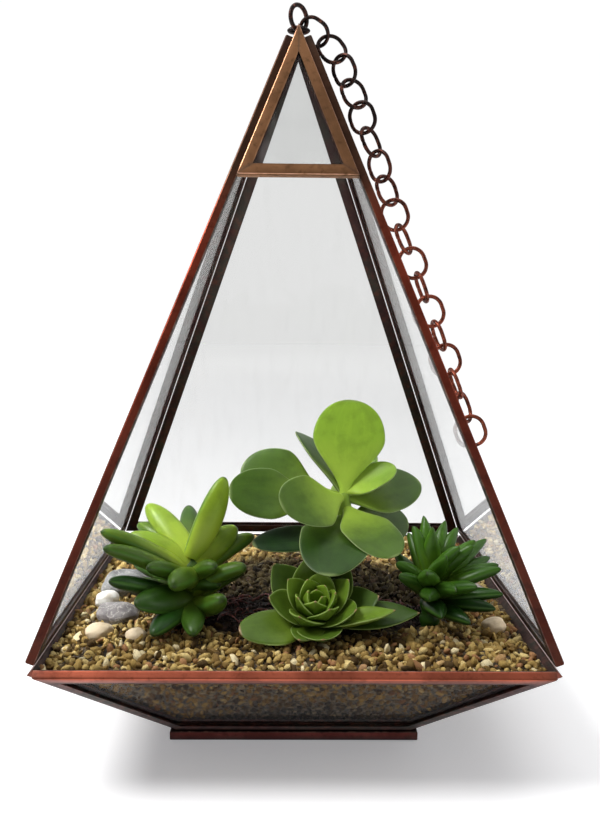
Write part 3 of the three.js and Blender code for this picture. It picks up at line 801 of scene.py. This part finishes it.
def bed_body():
    """The gravel under its loose grains: an uneven square top, and a skirt of square rings that slopes in
    with the base to a flat floor, closed by a fan over its middle."""
    n = 97
    s = np.linspace(-1, 1, n)
    x, y = np.meshgrid(s, s, indexing="ij")
    half = gravel_half(GRAVEL_EDGE_Z) - 0.5
    top = np.stack([x * half, y * half, gravel_level(x * half, y * half) - 1.2], -1)
    top[..., 2] += 0.35 * waves(top, 4, 6.0)
    along, one = s[:-1], np.ones(n - 1)
    sides = ((along, -one), (one, along), (-along, one), (-one, -along))
    rim = np.concatenate([np.stack(side, -1) for side in sides])
    count = len(rim)
    floor_z = GRAVEL_FLOOR_Z + 0.8
    levels = np.linspace(GRAVEL_EDGE_Z - 1.2, floor_z, 12)
    rings = [np.concatenate([rim * (gravel_half(z) - 1.3), np.full((count, 1), z)], 1) for z in levels]
    points = np.concatenate([*rings, [[0, 0, floor_z]]])
    last = len(points) - 1
    k = np.arange(count)
    fan = np.stack([last - count + k, last - count + (k + 1) % count, np.full(count, last)], -1)
    skirt = (points, [lattice(len(levels), count, round_cols=True)[:, ::-1], fan[:, ::-1]])
    return gather([(top.reshape(-1, 3), [lattice(n, n)[:, ::-1]]), skirt])


def grain_shape():
    """A pebble of few faces: an eight-sided ball with each face cut in four."""
    points = [sign * way for way in np.eye(3) for sign in (1, -1)]
    faces, halves = [], {}

    def half_way(i, j):
        """The number of the point between two corners, made once for each pair."""
        key = (min(i, j), max(i, j))
        if key not in halves:
            halves[key] = len(points)
            points.append(unit(points[i] + points[j]))
        return halves[key]

    for a, b, c in ((0, 2, 4), (2, 1, 4), (1, 3, 4), (3, 0, 4), (2, 0, 5), (1, 2, 5), (3, 1, 5), (0, 3, 5)):
        ab, bc, ca = half_way(a, b), half_way(b, c), half_way(c, a)
        faces += [(a, ab, ca), (b, bc, ab), (c, ca, bc), (ab, bc, ca)]
    return np.array(points), np.array(faces)


def scatter(places, sizes, seed, lot=None):
    """A grain at each place: the pebble shape drawn out by random radii and knocked about, turned by a
    random rotation (from the four numbers of a random quaternion), and moved there."""
    chance = np.random.default_rng(seed)
    shape, faces = grain_shape()
    n, m = len(places), len(shape)
    radii = sizes[:, None] * chance.uniform((0.9, 0.6, 0.45), (1.45, 0.9, 0.72), (n, 3))
    knocks = chance.uniform(0.78, 1.12, (n, m, 1))
    q = unit(chance.normal(size=(n, 4)))
    w, x, y, z = q.T
    turn = np.stack([
        1 - 2 * (y * y + z * z), 2 * (x * y - z * w), 2 * (x * z + y * w),
        2 * (x * y + z * w), 1 - 2 * (x * x + z * z), 2 * (y * z - x * w),
        2 * (x * z - y * w), 2 * (y * z + x * w), 1 - 2 * (x * x + y * y),
    ], -1).reshape(n, 3, 3)
    grains = np.einsum("nij,nmj->nmi", turn, shape[None] * knocks * radii[:, None])
    points = (places[:, None] + grains).reshape(-1, 3)
    all_faces = (faces[None] + (np.arange(n) * m)[:, None, None]).reshape(-1, 3)
    lot = chance.uniform(0, 1, n) if lot is None else lot
    return points, [all_faces], {"grain": np.repeat(lot, m)}


def in_soil(x, y, grow):
    """Whether a place lies within the soil's ellipse, its half widths larger by grow."""
    return ((x - SOIL["x"]) / (SOIL["rx"] + grow)) ** 2 + ((y - SOIL["y"]) / (SOIL["ry"] + grow)) ** 2 < 1


def in_stones(x, y):
    """Whether a place lies under a stone, taken as a circle of 0.72 times its mean half width."""
    inside = np.zeros(x.shape, bool)
    for row in STONES:
        (cx, cy, _), (rx, ry, _) = row[1], row[2]
        inside |= ((x - cx) ** 2 + (y - cy) ** 2) < (0.72 * (rx + ry) / 2) ** 2
    return inside


def top_grains():
    """Grains strewn over the level in a jittered grid, two deep: few where the soil shows, none under the
    stones, and smaller close to the rim."""
    chance = np.random.default_rng(12)
    half = gravel_half(GRAVEL_EDGE_Z)
    bodies = []
    for layer, (pitch, drop) in enumerate(((2.7, 0.1), (2.9, 1.0))):
        s = np.arange(-half + 1.2, half - 1.1, pitch)
        x, y = (g.ravel() for g in np.meshgrid(s, s))
        x = np.clip(x + chance.uniform(-1.1, 1.1, x.shape), -half + 0.9, half - 0.9)
        y = np.clip(y + chance.uniform(-1.1, 1.1, y.shape), -half + 0.9, half - 0.9)
        keep = ~in_stones(x, y) & ~(in_soil(x, y, 3.0) & (chance.uniform(0, 1, x.shape) > 0.12))
        x, y = x[keep], y[keep]
        z = gravel_level(x, y) - drop + chance.uniform(-0.7, 0.6, x.shape)
        sizes = chance.choice([1.0, 1.35, 1.7, 2.1], x.shape, p=[0.25, 0.35, 0.28, 0.12])
        room = half - np.maximum(np.abs(x), np.abs(y)) + 0.5
        sizes = np.minimum(sizes, room * 0.75 + 0.5)
        bodies.append(scatter(np.stack([x, y, z], -1), sizes, 30 + layer))
    return gather(bodies)


def side_grains():
    """Grains against the four sloping panes and the foot's pane, in a jittered grid on each."""
    chance = np.random.default_rng(14)
    places = []
    heights = np.arange(GRAVEL_FLOOR_Z + 1.6, GRAVEL_EDGE_Z - 1.0, 1.85)
    for side in range(4):
        for z in heights:
            half = gravel_half(z)
            s = np.arange(-half + 1.2, half - 1.0, 2.6)
            s = np.clip(s + chance.uniform(-1.0, 1.0, s.shape), -half + 1.2, half - 1.2)
            rise = np.clip(z + chance.uniform(-0.8, 0.8, s.shape), GRAVEL_FLOOR_Z + 1.3, None)
            depth = gravel_half(rise) - 1.2 + chance.uniform(-0.5, 0.25, s.shape)
            turn = side * np.pi / 2
            x = s * math.cos(turn) + depth * math.sin(turn)
            y = s * math.sin(turn) - depth * math.cos(turn)
            places.append(np.stack([x, y, rise], -1))
    half = gravel_half(GRAVEL_FLOOR_Z)
    s = np.arange(-half + 1.4, half - 1.2, 2.7)
    x, y = (g.ravel() for g in np.meshgrid(s, s))
    x, y = x + chance.uniform(-1, 1, x.shape), y + chance.uniform(-1, 1, y.shape)
    places.append(np.stack([x, y, np.full(x.shape, GRAVEL_FLOOR_Z + 1.3)], -1))
    places = np.concatenate(places)
    sizes = chance.choice([0.95, 1.25, 1.5], len(places), p=[0.35, 0.45, 0.2])
    return scatter(places, sizes, 33)


def ground(grit, bed, soil, bark):
    """The gravel's bed and grains; the soil, an ellipsoid with dents; and the crumbs strewn on it, each on
    the ellipsoid at 0.97 of its place's share of the half widths."""
    make_piece("gravel_bed", bed_body(), bed, ["gravel"], 60.0)
    make_piece("loose_grains", top_grains(), grit, (), 60.0)
    make_piece("grains_at_glass", side_grains(), grit, (), 60.0)
    rings = ball((0, 0, 0), (SOIL["rx"], SOIL["ry"], SOIL["rz"]), 60, 160)[0]
    lumps = waves(rings.reshape(-1, 3), 6, 7.0) * 0.5 + waves(rings.reshape(-1, 3), 7, 2.6) * 0.3
    shrink = 1 - 0.05 * (1.2 - lumps.reshape(rings.shape[:2]))[..., None]
    rings = rings * np.clip(shrink, 0.8, 1.0) + np.array([SOIL["x"], SOIL["y"], SOIL["z"]])
    make_piece("soil_mound", capped(rings), soil, ["soil"], 60.0)
    chance = np.random.default_rng(21)
    n = 1500
    r, a = np.sqrt(chance.uniform(0, 1, n)), chance.uniform(0, 2 * np.pi, n)
    x, y = SOIL["x"] + SOIL["rx"] * 0.97 * r * np.cos(a), SOIL["y"] + SOIL["ry"] * 0.97 * r * np.sin(a)
    z = SOIL["z"] + SOIL["rz"] * np.sqrt(np.clip(1 - (0.97 * r) ** 2, 0, 1)) + chance.uniform(-0.5, 0.3, n)
    crumbs = scatter(np.stack([x, y, z], -1), chance.uniform(0.4, 1.1, n), 22)
    make_piece("soil_crumbs", crumbs, soil, (), 60.0)
    make_piece("dry_roots", roots_body(), bark, (), 60.0)


def roots_body():
    """Short dry rootlets and leaf scraps on the soil: thin curved tubes, each a bent line ringed by
    its own small radius that tapers to both ends."""
    chance = np.random.default_rng(23)
    bodies = []
    for _ in range(130):
        a, r = chance.uniform(0, 2 * np.pi), math.sqrt(chance.uniform(0, 1)) * 0.9
        x, y = SOIL["x"] + SOIL["rx"] * r * math.cos(a), SOIL["y"] + SOIL["ry"] * r * math.sin(a)
        z = SOIL["z"] + SOIL["rz"] * math.sqrt(1 - r * r) + 0.5
        way, length = chance.uniform(0, 2 * np.pi), chance.uniform(3.5, 9.0)
        t = np.linspace(-0.5, 0.5, 9)[:, None]
        ahead = np.array([math.cos(way), math.sin(way), 0])
        aside = np.array([-math.sin(way), math.cos(way), 0])
        bend = chance.uniform(-2.5, 2.5)
        rise = chance.uniform(0, 1.6) * (1 - 4 * t * t)
        line = np.array([x, y, z]) + ahead * t * length + aside * bend * (4 * t * t) + UP * rise
        radius = chance.uniform(0.18, 0.42) * (1 - (1.9 * t) ** 4) + 0.05
        b = turns(6)[None, :, None]
        rings = line[:, None] + radius[:, None] * (np.cos(b) * aside + np.sin(b) * UP)
        bodies.append(capped(rings))
    return gather(bodies)


# Each stone: name, centre, half sizes, turn in degrees, whether grey, tone.
STONES = [
    ("stone_slate", (-64, -8, 45.5), (11, 9, 6.5), 20, True, 0.05),
    ("pebble_white", (-69, -24, 44.6), (5.5, 4.5, 3.6), 70, False, 0.0),
    ("stone_flat", (-62.5, -38, 44.6), (9, 7, 4), -15, True, 0.35),
    ("pebble_cream_a", (-66, -53, 43.6), (5, 4, 3.4), 30, False, 0.3),
    ("pebble_cream_b", (-53, -56, 43.4), (4.4, 3.6, 3), -40, False, 0.35),
    ("pebble_pink", (-50, -20, 44.4), (5.5, 4.2, 3.4), 55, False, 0.7),
    ("stone_purple", (61, -18, 45.6), (13, 9, 6.4), -25, True, 0.95),
    ("pebble_tan", (67, -2, 44.8), (7, 5.5, 4.4), 35, False, 0.95),
    ("pebble_cream_c", (69, -46, 43.6), (4.6, 3.8, 3.2), 10, False, 0.4),
]


def stones(grey, pale):
    """Each stone is a ball cut by random planes: along each way its radius is the softened least of the
    planes' distances over their cosines, times the half sizes, with small lumps."""
    for i, (name, centre, radii, turn, is_grey, tone) in enumerate(STONES):
        chance = np.random.default_rng(50 + i)
        ways = ball((0, 0, 0), (1, 1, 1), 36, 48)[1]
        planes = unit(chance.normal(size=(26, 3)))
        reach = chance.uniform(0.86, 1.02, 26)
        cosine = np.clip(ways @ planes.T, 0.05, None)
        r = (((reach / cosine) ** -14.0).sum(-1) + 1.0) ** (-1 / 14.0)
        r = np.minimum(r, 1.0) + 0.018 * waves(ways.reshape(-1, 3) * 10, 60 + i, 6.0).reshape(r.shape)
        rings = ways * np.minimum(r, 1.0)[..., None] * np.array(radii, float)
        a = math.radians(turn)
        spin = np.array([[math.cos(a), math.sin(a), 0], [-math.sin(a), math.cos(a), 0], [0, 0, 1]])
        points, faces = capped(rings @ spin + np.array(centre))
        marks = {"tone": np.full(len(points), tone)}
        make_piece(f"worn_{name}", (points, faces, marks), grey if is_grey else pale, [name], 50.0)


# ---------------------------------------------------------------- leaves


def swell(t, part, most=1.0):
    """A leaf's width that swells along its middle: 1 - part + part sin(pi t)."""
    return 1 - part + part * np.sin(np.pi * np.minimum(most, t))


def widen(t):
    """A leaf's width that grows from a narrow stalk of 0.13 to 1 in a soft step."""
    return 0.13 + 0.87 * smooth(t)


def rounded(t, power):
    """A round tip: the root of 1 - t to that power."""
    return np.sqrt(1 - np.clip(t, 0, 1) ** power)


# Each kind of leaf: at t along it, its half width and the square of its half thickness, as shares of
# the greatest.
FORMS = {
    "finger": lambda t: (swell(1.05 * t, 0.26) * rounded(t, 7), 1 - t**7),
    "spike": lambda t: (swell(1.1 * t, 0.32) * (1 - t**4) ** 0.75, 1 - t**4),
    "spoon": lambda t: (widen(1.65 * t) * rounded(2 * t - 1, 2.6), 1 - t**6),
    "disc": lambda t: (widen(2.2 * t) * rounded(1.8 * t - 0.8, 2.2), 1 - t**6),
    "paddle": lambda t: (widen(2.3 * t - 0.5) * rounded(2.6 * t - 1.6, 2.2), 1 - t**6),
    "scale": lambda t: (swell(0.8 * t, 0.58, 0.9) * (1 - t**4) ** 0.9, 1 - t**4),
}


def leaf(root, tip, width, form, thick, bow, age, lot, cup=0.0, face=(0, 0, 1), sides=20, rings=26,
         twist=0.0, ripple=0.0, keel=0.0):
    """A leaf from root to tip. At t along it, its middle line stands off the straight line by
    4 bow t (1 - t) on the side it faces; its section is an ellipse of half width w(t) and half thickness
    the root of h(t), dished by cup times the square of the share across, rippled along its edges, with a
    keel below, and turned by twist from root to tip."""
    root, tip, face = (np.array(p, float) for p in (root, tip, face))
    along = tip - root
    axis = unit(along)
    normal = unit(face - axis * (face @ axis))
    side = np.cross(axis, normal)
    s = np.linspace(0, 1, rings)
    t = np.minimum(np.sin(0.5 * np.pi * s) ** 1.1, 0.9985)
    w, h = (part[:, None] for part in FORMS[form](t))
    t = t[:, None]
    a = turns(sides)
    share, height = np.tile(np.cos(a), (rings, 1)), np.tile(np.sin(a), (rings, 1))
    lift = height * np.sqrt(np.maximum(h, 0.01)) * thick / 2
    across = share * w * width / 2
    dish = cup * (across / (width / 2)) ** 2
    edge_wave = ripple * share**2 * np.sin(2 * np.pi * (1.4 * t + lot * 3 + 0.25 * np.sign(share)))
    bulge = 4 * t * (1 - t)
    under = keel * thick * bulge * np.exp(-((share / 0.22) ** 2)) * (height < 0)
    rise = bow * bulge + lift + dish + edge_wave - under
    angle = math.radians(twist) * (t[..., None] - 0.5)
    side_now = side * np.cos(angle) + normal * np.sin(angle)
    normal_now = normal * np.cos(angle) - side * np.sin(angle)
    points = root + along * t[..., None] + across[..., None] * side_now + rise[..., None] * normal_now
    points, faces = capped(points)
    spot = np.stack(np.broadcast_arrays(t, share, height), -1)
    spot = np.concatenate([spot.reshape(-1, 3), [[0, 0, 0], [1, 0, 0]]])
    return points, faces, {"spot": spot, "age": np.tile([age, lot, 0.0], (len(points), 1))}


def stem(x, y, top, radius, age=0.05):
    """A plant's stem: rings up a post, swollen at its joints and closing over the top. Its low default age
    gives it the dark old leaf colour, as painted shade.
    """
    z = np.linspace(STEM_FOOT_Z, top, 40)[:, None]
    joints = 0.86 + 0.1 * np.cos((z - STEM_FOOT_Z) * 1.1)
    r = radius * joints * np.sqrt(np.clip((top + 0.3 - z) / 3.0, 0.02, 1))
    a = turns(18)
    points, faces = capped(np.stack([x + r * np.cos(a), y + r * np.sin(a), z + 0 * a], -1))
    spot = np.tile([0.5, 0.0, 0.0], (len(points), 1))
    return points, faces, {"spot": spot, "age": np.tile([age, 0.5, 0.0], (len(points), 1))}


# Rows: root height on the stem, tip, width, and what differs from the plant's defaults.
FINGER_PLANT = {
    "x": -36, "y": -38, "top": 66, "radius": 4.4,
    "defaults": {"form": "finger", "thick": 6, "bow": 1.4},
    "leaves": [
        (65, (-25, -34, 93), 10, {"face": (0.6, -1, 0.2), "age": 1.0}),
        (65, (-54, -22, 80), 9.5, {"face": (0.3, -1, 0.6), "age": 1.0}),
        (63, (-57, -25, 73.5), 8, {"age": 0.35}),
        (62, (-58, -37, 73), 9, {"face": (0.2, -1, 0.8), "age": 0.8}),
        (58, (-65, -52, 78), 8, {"age": 0.35}), (54, (-63, -58, 74), 9.5, {"bow": 2, "age": 0.2}),
        (47.6, (-61, -60, 63.5), 8, {"age": 0.0}),
        (49, (-52, -63, 56.5), 12, {"bow": 2, "face": (0, -1, 0.8), "age": 0.05}),
        (57, (-40, -61, 62.5), 9, {"thick": 7.5, "age": 0.2}),
        (62, (-21, -30, 74), 9.5, {"face": (0.2, -1, 0.6), "age": 0.7}),
        (58, (-15, -26, 70), 9, {"age": 0.35}), (52, (-17, -48, 65), 9, {"age": 0.25}),
        (48, (-24, -60, 57.5), 9.5, {"thick": 7, "bow": -1.5, "age": 0.2}),
        (48, (-46, -67, 48), 9.5, {"age": 0.0}), (48, (-33, -67, 48), 8.5, {"age": 0.1}),
        (64, (-40, -12, 77), 8, {"age": 0.1}), (52, (-52, -12, 64), 8, {"age": 0.1}),
        (53, (-30, -12, 62), 8, {"age": 0.1}), (50, (-61, -44, 57), 8.5, {"age": 0.1}),
        (50, (-18, -24, 57), 8, {"age": 0.2}), (52, (-58, -28, 60), 8, {"age": 0.1}),
        (56, (-27, -51, 66), 7, {"age": 0.2}), (54, (-26, -46, 58), 8, {"age": 0.1}),
        (55, (-49, -56, 67), 8, {"age": 0.15}),
    ],
}

JADE_PLANT = {
    "x": 18, "y": -20, "top": 85, "radius": 3, "stem_age": 0.7,
    "defaults": {
        "form": "disc", "thick": 2.6, "bow": -1.2, "cup": 1.4, "ripple": 0.25, "face": (0, -1, 0.6),
        "sides": 36, "rings": 40,
    },
    "leaves": [
        (84, (21, -12, 118), 27, {"form": "spoon", "face": (0, -1, 0.3), "age": 1.0}),
        (83, (1, -1, 104), 17, {"form": "spoon", "face": (1, -0.8, 0.1), "bow": 1.5, "age": 0.1}),
        (83, (-20, -10, 92.5), 23, {"form": "paddle", "face": (0.1, -1, 0.7), "age": 0.2}),
        (82, (-24, -27, 86.5), 21, {"form": "paddle", "face": (0, -1, 0.9), "age": 0.18}),
        (83, (-5, -46, 85.5), 21, {"face": (-0.2, -1, 0.5), "age": 0.26}),
        (84, (37, -18, 94), 14, {"face": (-0.3, -0.6, 1), "cup": 2.6, "age": 0.75}),
        (82, (47, -10, 87), 23, {"face": (-0.1, -0.8, 1), "age": 0.15}),
        (80, (34, -48, 68.5), 20, {"face": (0.3, -0.8, 0.8), "age": 0.22}),
        (76, (10.7, -54, 63.5), 26, {"face": (0, -0.7, 1), "bow": 1, "age": 0.06}),
        (70, (-15, -36, 69), 15, {"face": (0, -0.4, 1), "age": 0.0}),
        (74, (44, -6, 69), 17, {"face": (0, -1, 0.5), "age": 0.15}),
        (81, (28, 12, 93), 20, {"face": (0, 0.8, 0.8), "age": 0.4}),
        (77, (0, 8, 79), 20, {"face": (0, 0.6, 1), "age": 0.2}),
    ],
}

SPIKE_PLANT = {
    "x": 47, "y": -43, "top": 60, "radius": 3.8,
    "defaults": {"form": "spike", "thick": 5.2, "bow": 1, "sides": 16, "rings": 20},
    "leaves": [
        (58, (45, -36, 80), 7.5), (58, (41, -39, 77), 7.5), (58, (47, -44, 78), 7),
        (58, (53, -35, 78), 7.5), (57, (57, -37, 76), 7.5), (57, (55, -51, 73), 7.5),
        (56, (62, -43, 73), 7.5), (55, (68, -34, 71), 7.5),
        (54, (69, -36, 65), 7), (55, (64, -32, 66), 7), (54, (70, -45, 65), 8.5), (53, (69, -53, 66), 8),
        (53, (59, -63, 63), 8.5), (51, (69, -57, 58.5), 8), (50, (66, -60, 54.5), 8), (55, (42, -65, 68), 8),
        (53, (34, -58, 65), 8), (55, (34, -50, 67), 7), (49, (57, -64, 51), 8), (50, (47, -67, 54), 8),
        (56, (60, -50, 73), 7), (56, (50, -56, 71), 7), (50, (70, -45, 55), 7.5), (52, (66, -40, 61), 7.5),
        (53, (56, -24, 65), 7), (54, (46, -21, 66), 7), (52, (36, -28, 64), 7), (51, (60, -29, 58), 7.5),
        (56, (40, -33, 73), 7), (54, (52, -64, 62), 7.5), (53, (43, -66, 60), 7.5), (51, (46, -21, 57), 7),
    ],
}

GOLDEN_ANGLE = 137.508
ROSETTE = {"x": 7, "y": -49, "top": 51, "radius": 4, "tilt": 33, "count": 20, "low": 46.6}
ROSETTE_OUTER = [
    {"form": "disc", "root": (6, -57, 47.2), "tip": (-18.5, -63, 48), "width": 15, "thick": 3,
     "face": (0, -0.6, 1), "age": 0.3},
    {"root": (9, -56, 47.2), "tip": (32.5, -63, 55), "width": 10, "face": (-0.4, -0.2, 1),
     "cup": 2.4, "age": 0.6},
    {"root": (10, -50, 47.4), "tip": (41, -60, 53), "width": 14, "face": (-0.2, -0.5, 1), "age": 0.1},
    {"root": (7, -53, 47.2), "tip": (1, -69, 47), "width": 12, "face": (0, -0.3, 1), "age": 0.3},
]


def plant_body(plant, seed):
    """A stem and its leaves. Each leaf gets its own small twist and lot number, and an age that grows
    with its height, where its row doesn't name one."""
    chance = np.random.default_rng(seed)
    x, y = plant["x"], plant["y"]
    # Stems default to a dark, old leaf colour as painted shade.
    bodies = [stem(x, y, plant["top"], plant["radius"], plant.get("stem_age", 0.05))]
    for row in plant["leaves"]:
        height, tip, width = row[:3]
        ask = {**plant["defaults"], "twist": chance.uniform(-14, 14), "lot": chance.uniform(0, 1)}
        ask["age"] = np.clip((height - 50) / 9, 0, 1) * chance.uniform(0.6, 1.0)
        ask.update(row[3] if len(row) > 3 else {})
        bodies.append(leaf((x, y, height), tip, width, **ask))
    return gather(bodies)


def rosette_body():
    """Leaf i stands at i golden angles round the tilted axis, from wide open outside to nearly upright
    in the middle; the open outer leaves are given one by one."""
    tilt = math.radians(ROSETTE["tilt"])
    axis = np.array([0, -math.sin(tilt), math.cos(tilt)])
    first = np.array([1.0, 0, 0])
    third = np.cross(axis, first)
    chance = np.random.default_rng(77)
    bodies = [stem(ROSETTE["x"], ROSETTE["y"], ROSETTE["top"], ROSETTE["radius"])]
    defaults = {"form": "scale", "thick": 2, "sides": 20, "rings": 24, "keel": 0.35}
    for i in range(ROSETTE["count"]):
        share = i / (ROSETTE["count"] - 1)
        opening = math.radians(63 - 53 * share)
        turn = math.radians(GOLDEN_ANGLE * i)
        out = first * math.cos(turn) + third * math.sin(turn)
        way = out * math.sin(opening) + axis * math.cos(opening)
        root = np.array([ROSETTE["x"], ROSETTE["y"], 47.0]) + axis * (1.5 + 2.5 * share)
        tip = root + way * (23.5 - 14 * share)
        tip[2] = max(tip[2], ROSETTE["low"])
        lot = chance.uniform(0, 1)
        ask = {"bow": 1.6 * share - 2.8, "cup": 2.8 - 1.4 * share, "age": 0.15 + 0.85 * share, "lot": lot}
        bodies.append(leaf(root, tip, 18 - 10.5 * share, face=axis - 0.5 * way, **defaults, **ask))
    defaults.update(thick=2.4, bow=-1, cup=1.5)
    for outer in ROSETTE_OUTER:
        bodies.append(leaf(lot=chance.uniform(0, 1), **{**defaults, **outer}))
    return gather(bodies)


# Each plant's skin: its colours when old and young, at the root, along the rim and at the tip, and then
# its roughness, the share of soft light in it, and where across a leaf the rim begins.
LEAF_SKINS = {
    "finger": (
        (0.012, 0.050, 0.005), (0.20, 0.31, 0.018), (0.32, 0.42, 0.040), (0.06, 0.15, 0.02),
        (0.02, 0.045, 0.006), 0.22, 0.06, 0.94,
    ),
    "jade": (
        (0.008, 0.036, 0.004), (0.22, 0.37, 0.030), (0.32, 0.46, 0.050), (0.26, 0.33, 0.13),
        (0.20, 0.26, 0.09), 0.24, 0.06, 0.96,
    ),
    "spike": (
        (0.008, 0.034, 0.003), (0.06, 0.16, 0.008), (0.11, 0.20, 0.014), (0.05, 0.12, 0.015),
        (0.018, 0.04, 0.006), 0.22, 0.05, 0.94,
    ),
    "rosette": (
        (0.014, 0.042, 0.004), (0.18, 0.29, 0.024), (0.16, 0.24, 0.020), (0.34, 0.44, 0.14),
        (0.36, 0.20, 0.12), 0.26, 0.05, 0.94,
    ),
}


def plants():
    """The four plants, each with its stem and leaves in one piece."""
    bodies = {
        "finger": plant_body(FINGER_PLANT, 71),
        "jade": plant_body(JADE_PLANT, 72),
        "spike": plant_body(SPIKE_PLANT, 73),
        "rosette": rosette_body(),
    }
    for kind, body in bodies.items():
        skin = leaf_skin(f"{kind}_leaf_skin", *LEAF_SKINS[kind])
        make_piece(f"{kind}_leaves", body, skin, [f"{kind}_succulent"], 75.0)


# ---------------------------------------------------------------- room and light

FLOOR_HALF = 2500.0
FLOOR_DROP = 0.3  # keeps the floor clear of the foot
PAPER_WHITE = 1.02
LAMP_AIM = Vector((0, 0, 0.1))


def floor():
    """A pale flat floor under the object, lit to white further out."""
    f = Finish("pale_floor")
    cloud = f.noise(f.here, 0.004, 3.0)
    x, y = f.parts(f.here)[:2]
    colour = f.mix(cloud, (0.93, 0.93, 0.935), (0.96, 0.96, 0.965))
    glow = f.mix(((x * x + y * y) ** 0.5).ranged(150.0, 1900.0), (0.27, 0.27, 0.28), (0.70, 0.70, 0.70))
    rough = 0.3 + 0.1 * cloud
    material = f.coat(Base_Color=colour, Roughness=rough, Emission_Color=glow, Emission_Strength=1.0)
    x, y = np.meshgrid([-FLOOR_HALF, FLOOR_HALF], [-FLOOR_HALF, FLOOR_HALF])
    points = np.stack([x, y, np.full(x.shape, -FLOOR_DROP)], -1).reshape(-1, 3)
    make_piece("floor", (points, [lattice(2, 2)]), material, stage=True)


def room():
    """A white backdrop to the eye; as light it is white above, grey at the sides and dark low in front,
    as where a studio opens towards the photographer."""
    f = Finish("room", world=True)
    y, z = f.parts(f.here)[1:]
    height = z.ranged(-0.1, 0.9, 0.12, 0.45)
    front = (0.1 - y).ranged(0.0, 0.6) * (0.55 - z).ranged(0.0, 0.5)
    light, paper = (
        f.node("ShaderNodeBackground", values={"Color": (1.0, 1.0, 1.0), "Strength": strength})
        for strength in (height * (1.0 - 0.85 * front), PAPER_WHITE)
    )
    seen = f.node("ShaderNodeLightPath", out="Is Camera Ray")
    through = f.node("ShaderNodeLightPath", out="Is Transmission Ray")
    bpy.context.scene.world = f.done(f.blend(seen.most(through), light, paper))


def softbox(name, place, width, height, power):
    """A flat lamp, in metres and watts, that faces the plants."""
    data = bpy.data.lights.new(name, "AREA")
    data.shape = "RECTANGLE"
    data.size = width
    data.size_y = height
    data.energy = power
    lamp = bpy.data.objects.new(name, data)
    bpy.context.scene.collection.objects.link(lamp)
    lamp.location = place
    lamp.rotation_euler = (LAMP_AIM - Vector(place)).to_track_quat("-Z", "Y").to_euler()


def light():
    """The room, and three soft lamps: from the upper left, from above and from the right."""
    room()
    softbox("key", (-0.72, -0.2, 1.05), 0.5, 0.4, 14)
    softbox("top", (0.1, 0.25, 1.3), 1.0, 1.0, 6)
    softbox("side", (1.1, -0.2, 0.7), 0.4, 0.8, 2.5)
    bpy.context.scene.view_settings.view_transform = "Standard"


# ---------------------------------------------------------------- assembly

came_metal = copper_patina()
wire_metal = black_copper()
side_glass = pane_glass("side_glass", 1.17, 0.06, 0.82)
back_glass = pane_glass("back_glass", 1.17, 0.03, 0.735)
base_glass = pane_glass("wet_base_glass", 1.05, 0.0, 0.88)
all_cames(came_metal)
for name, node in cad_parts.items():
    if name.startswith("pane_"):
        low = name.startswith("pane_base") or name == "pane_foot"
        node.data.materials.clear()
        node.data.materials.append(base_glass if low else back_glass if name == "pane_back" else side_glass)
hanging_ring(wire_metal)
chain(wire_metal)
ground(gravel_grit(), gravel_bed(), dark_soil(), root_bark())
stones(grey_stone(), pale_pebble())
plants()
floor()
light()
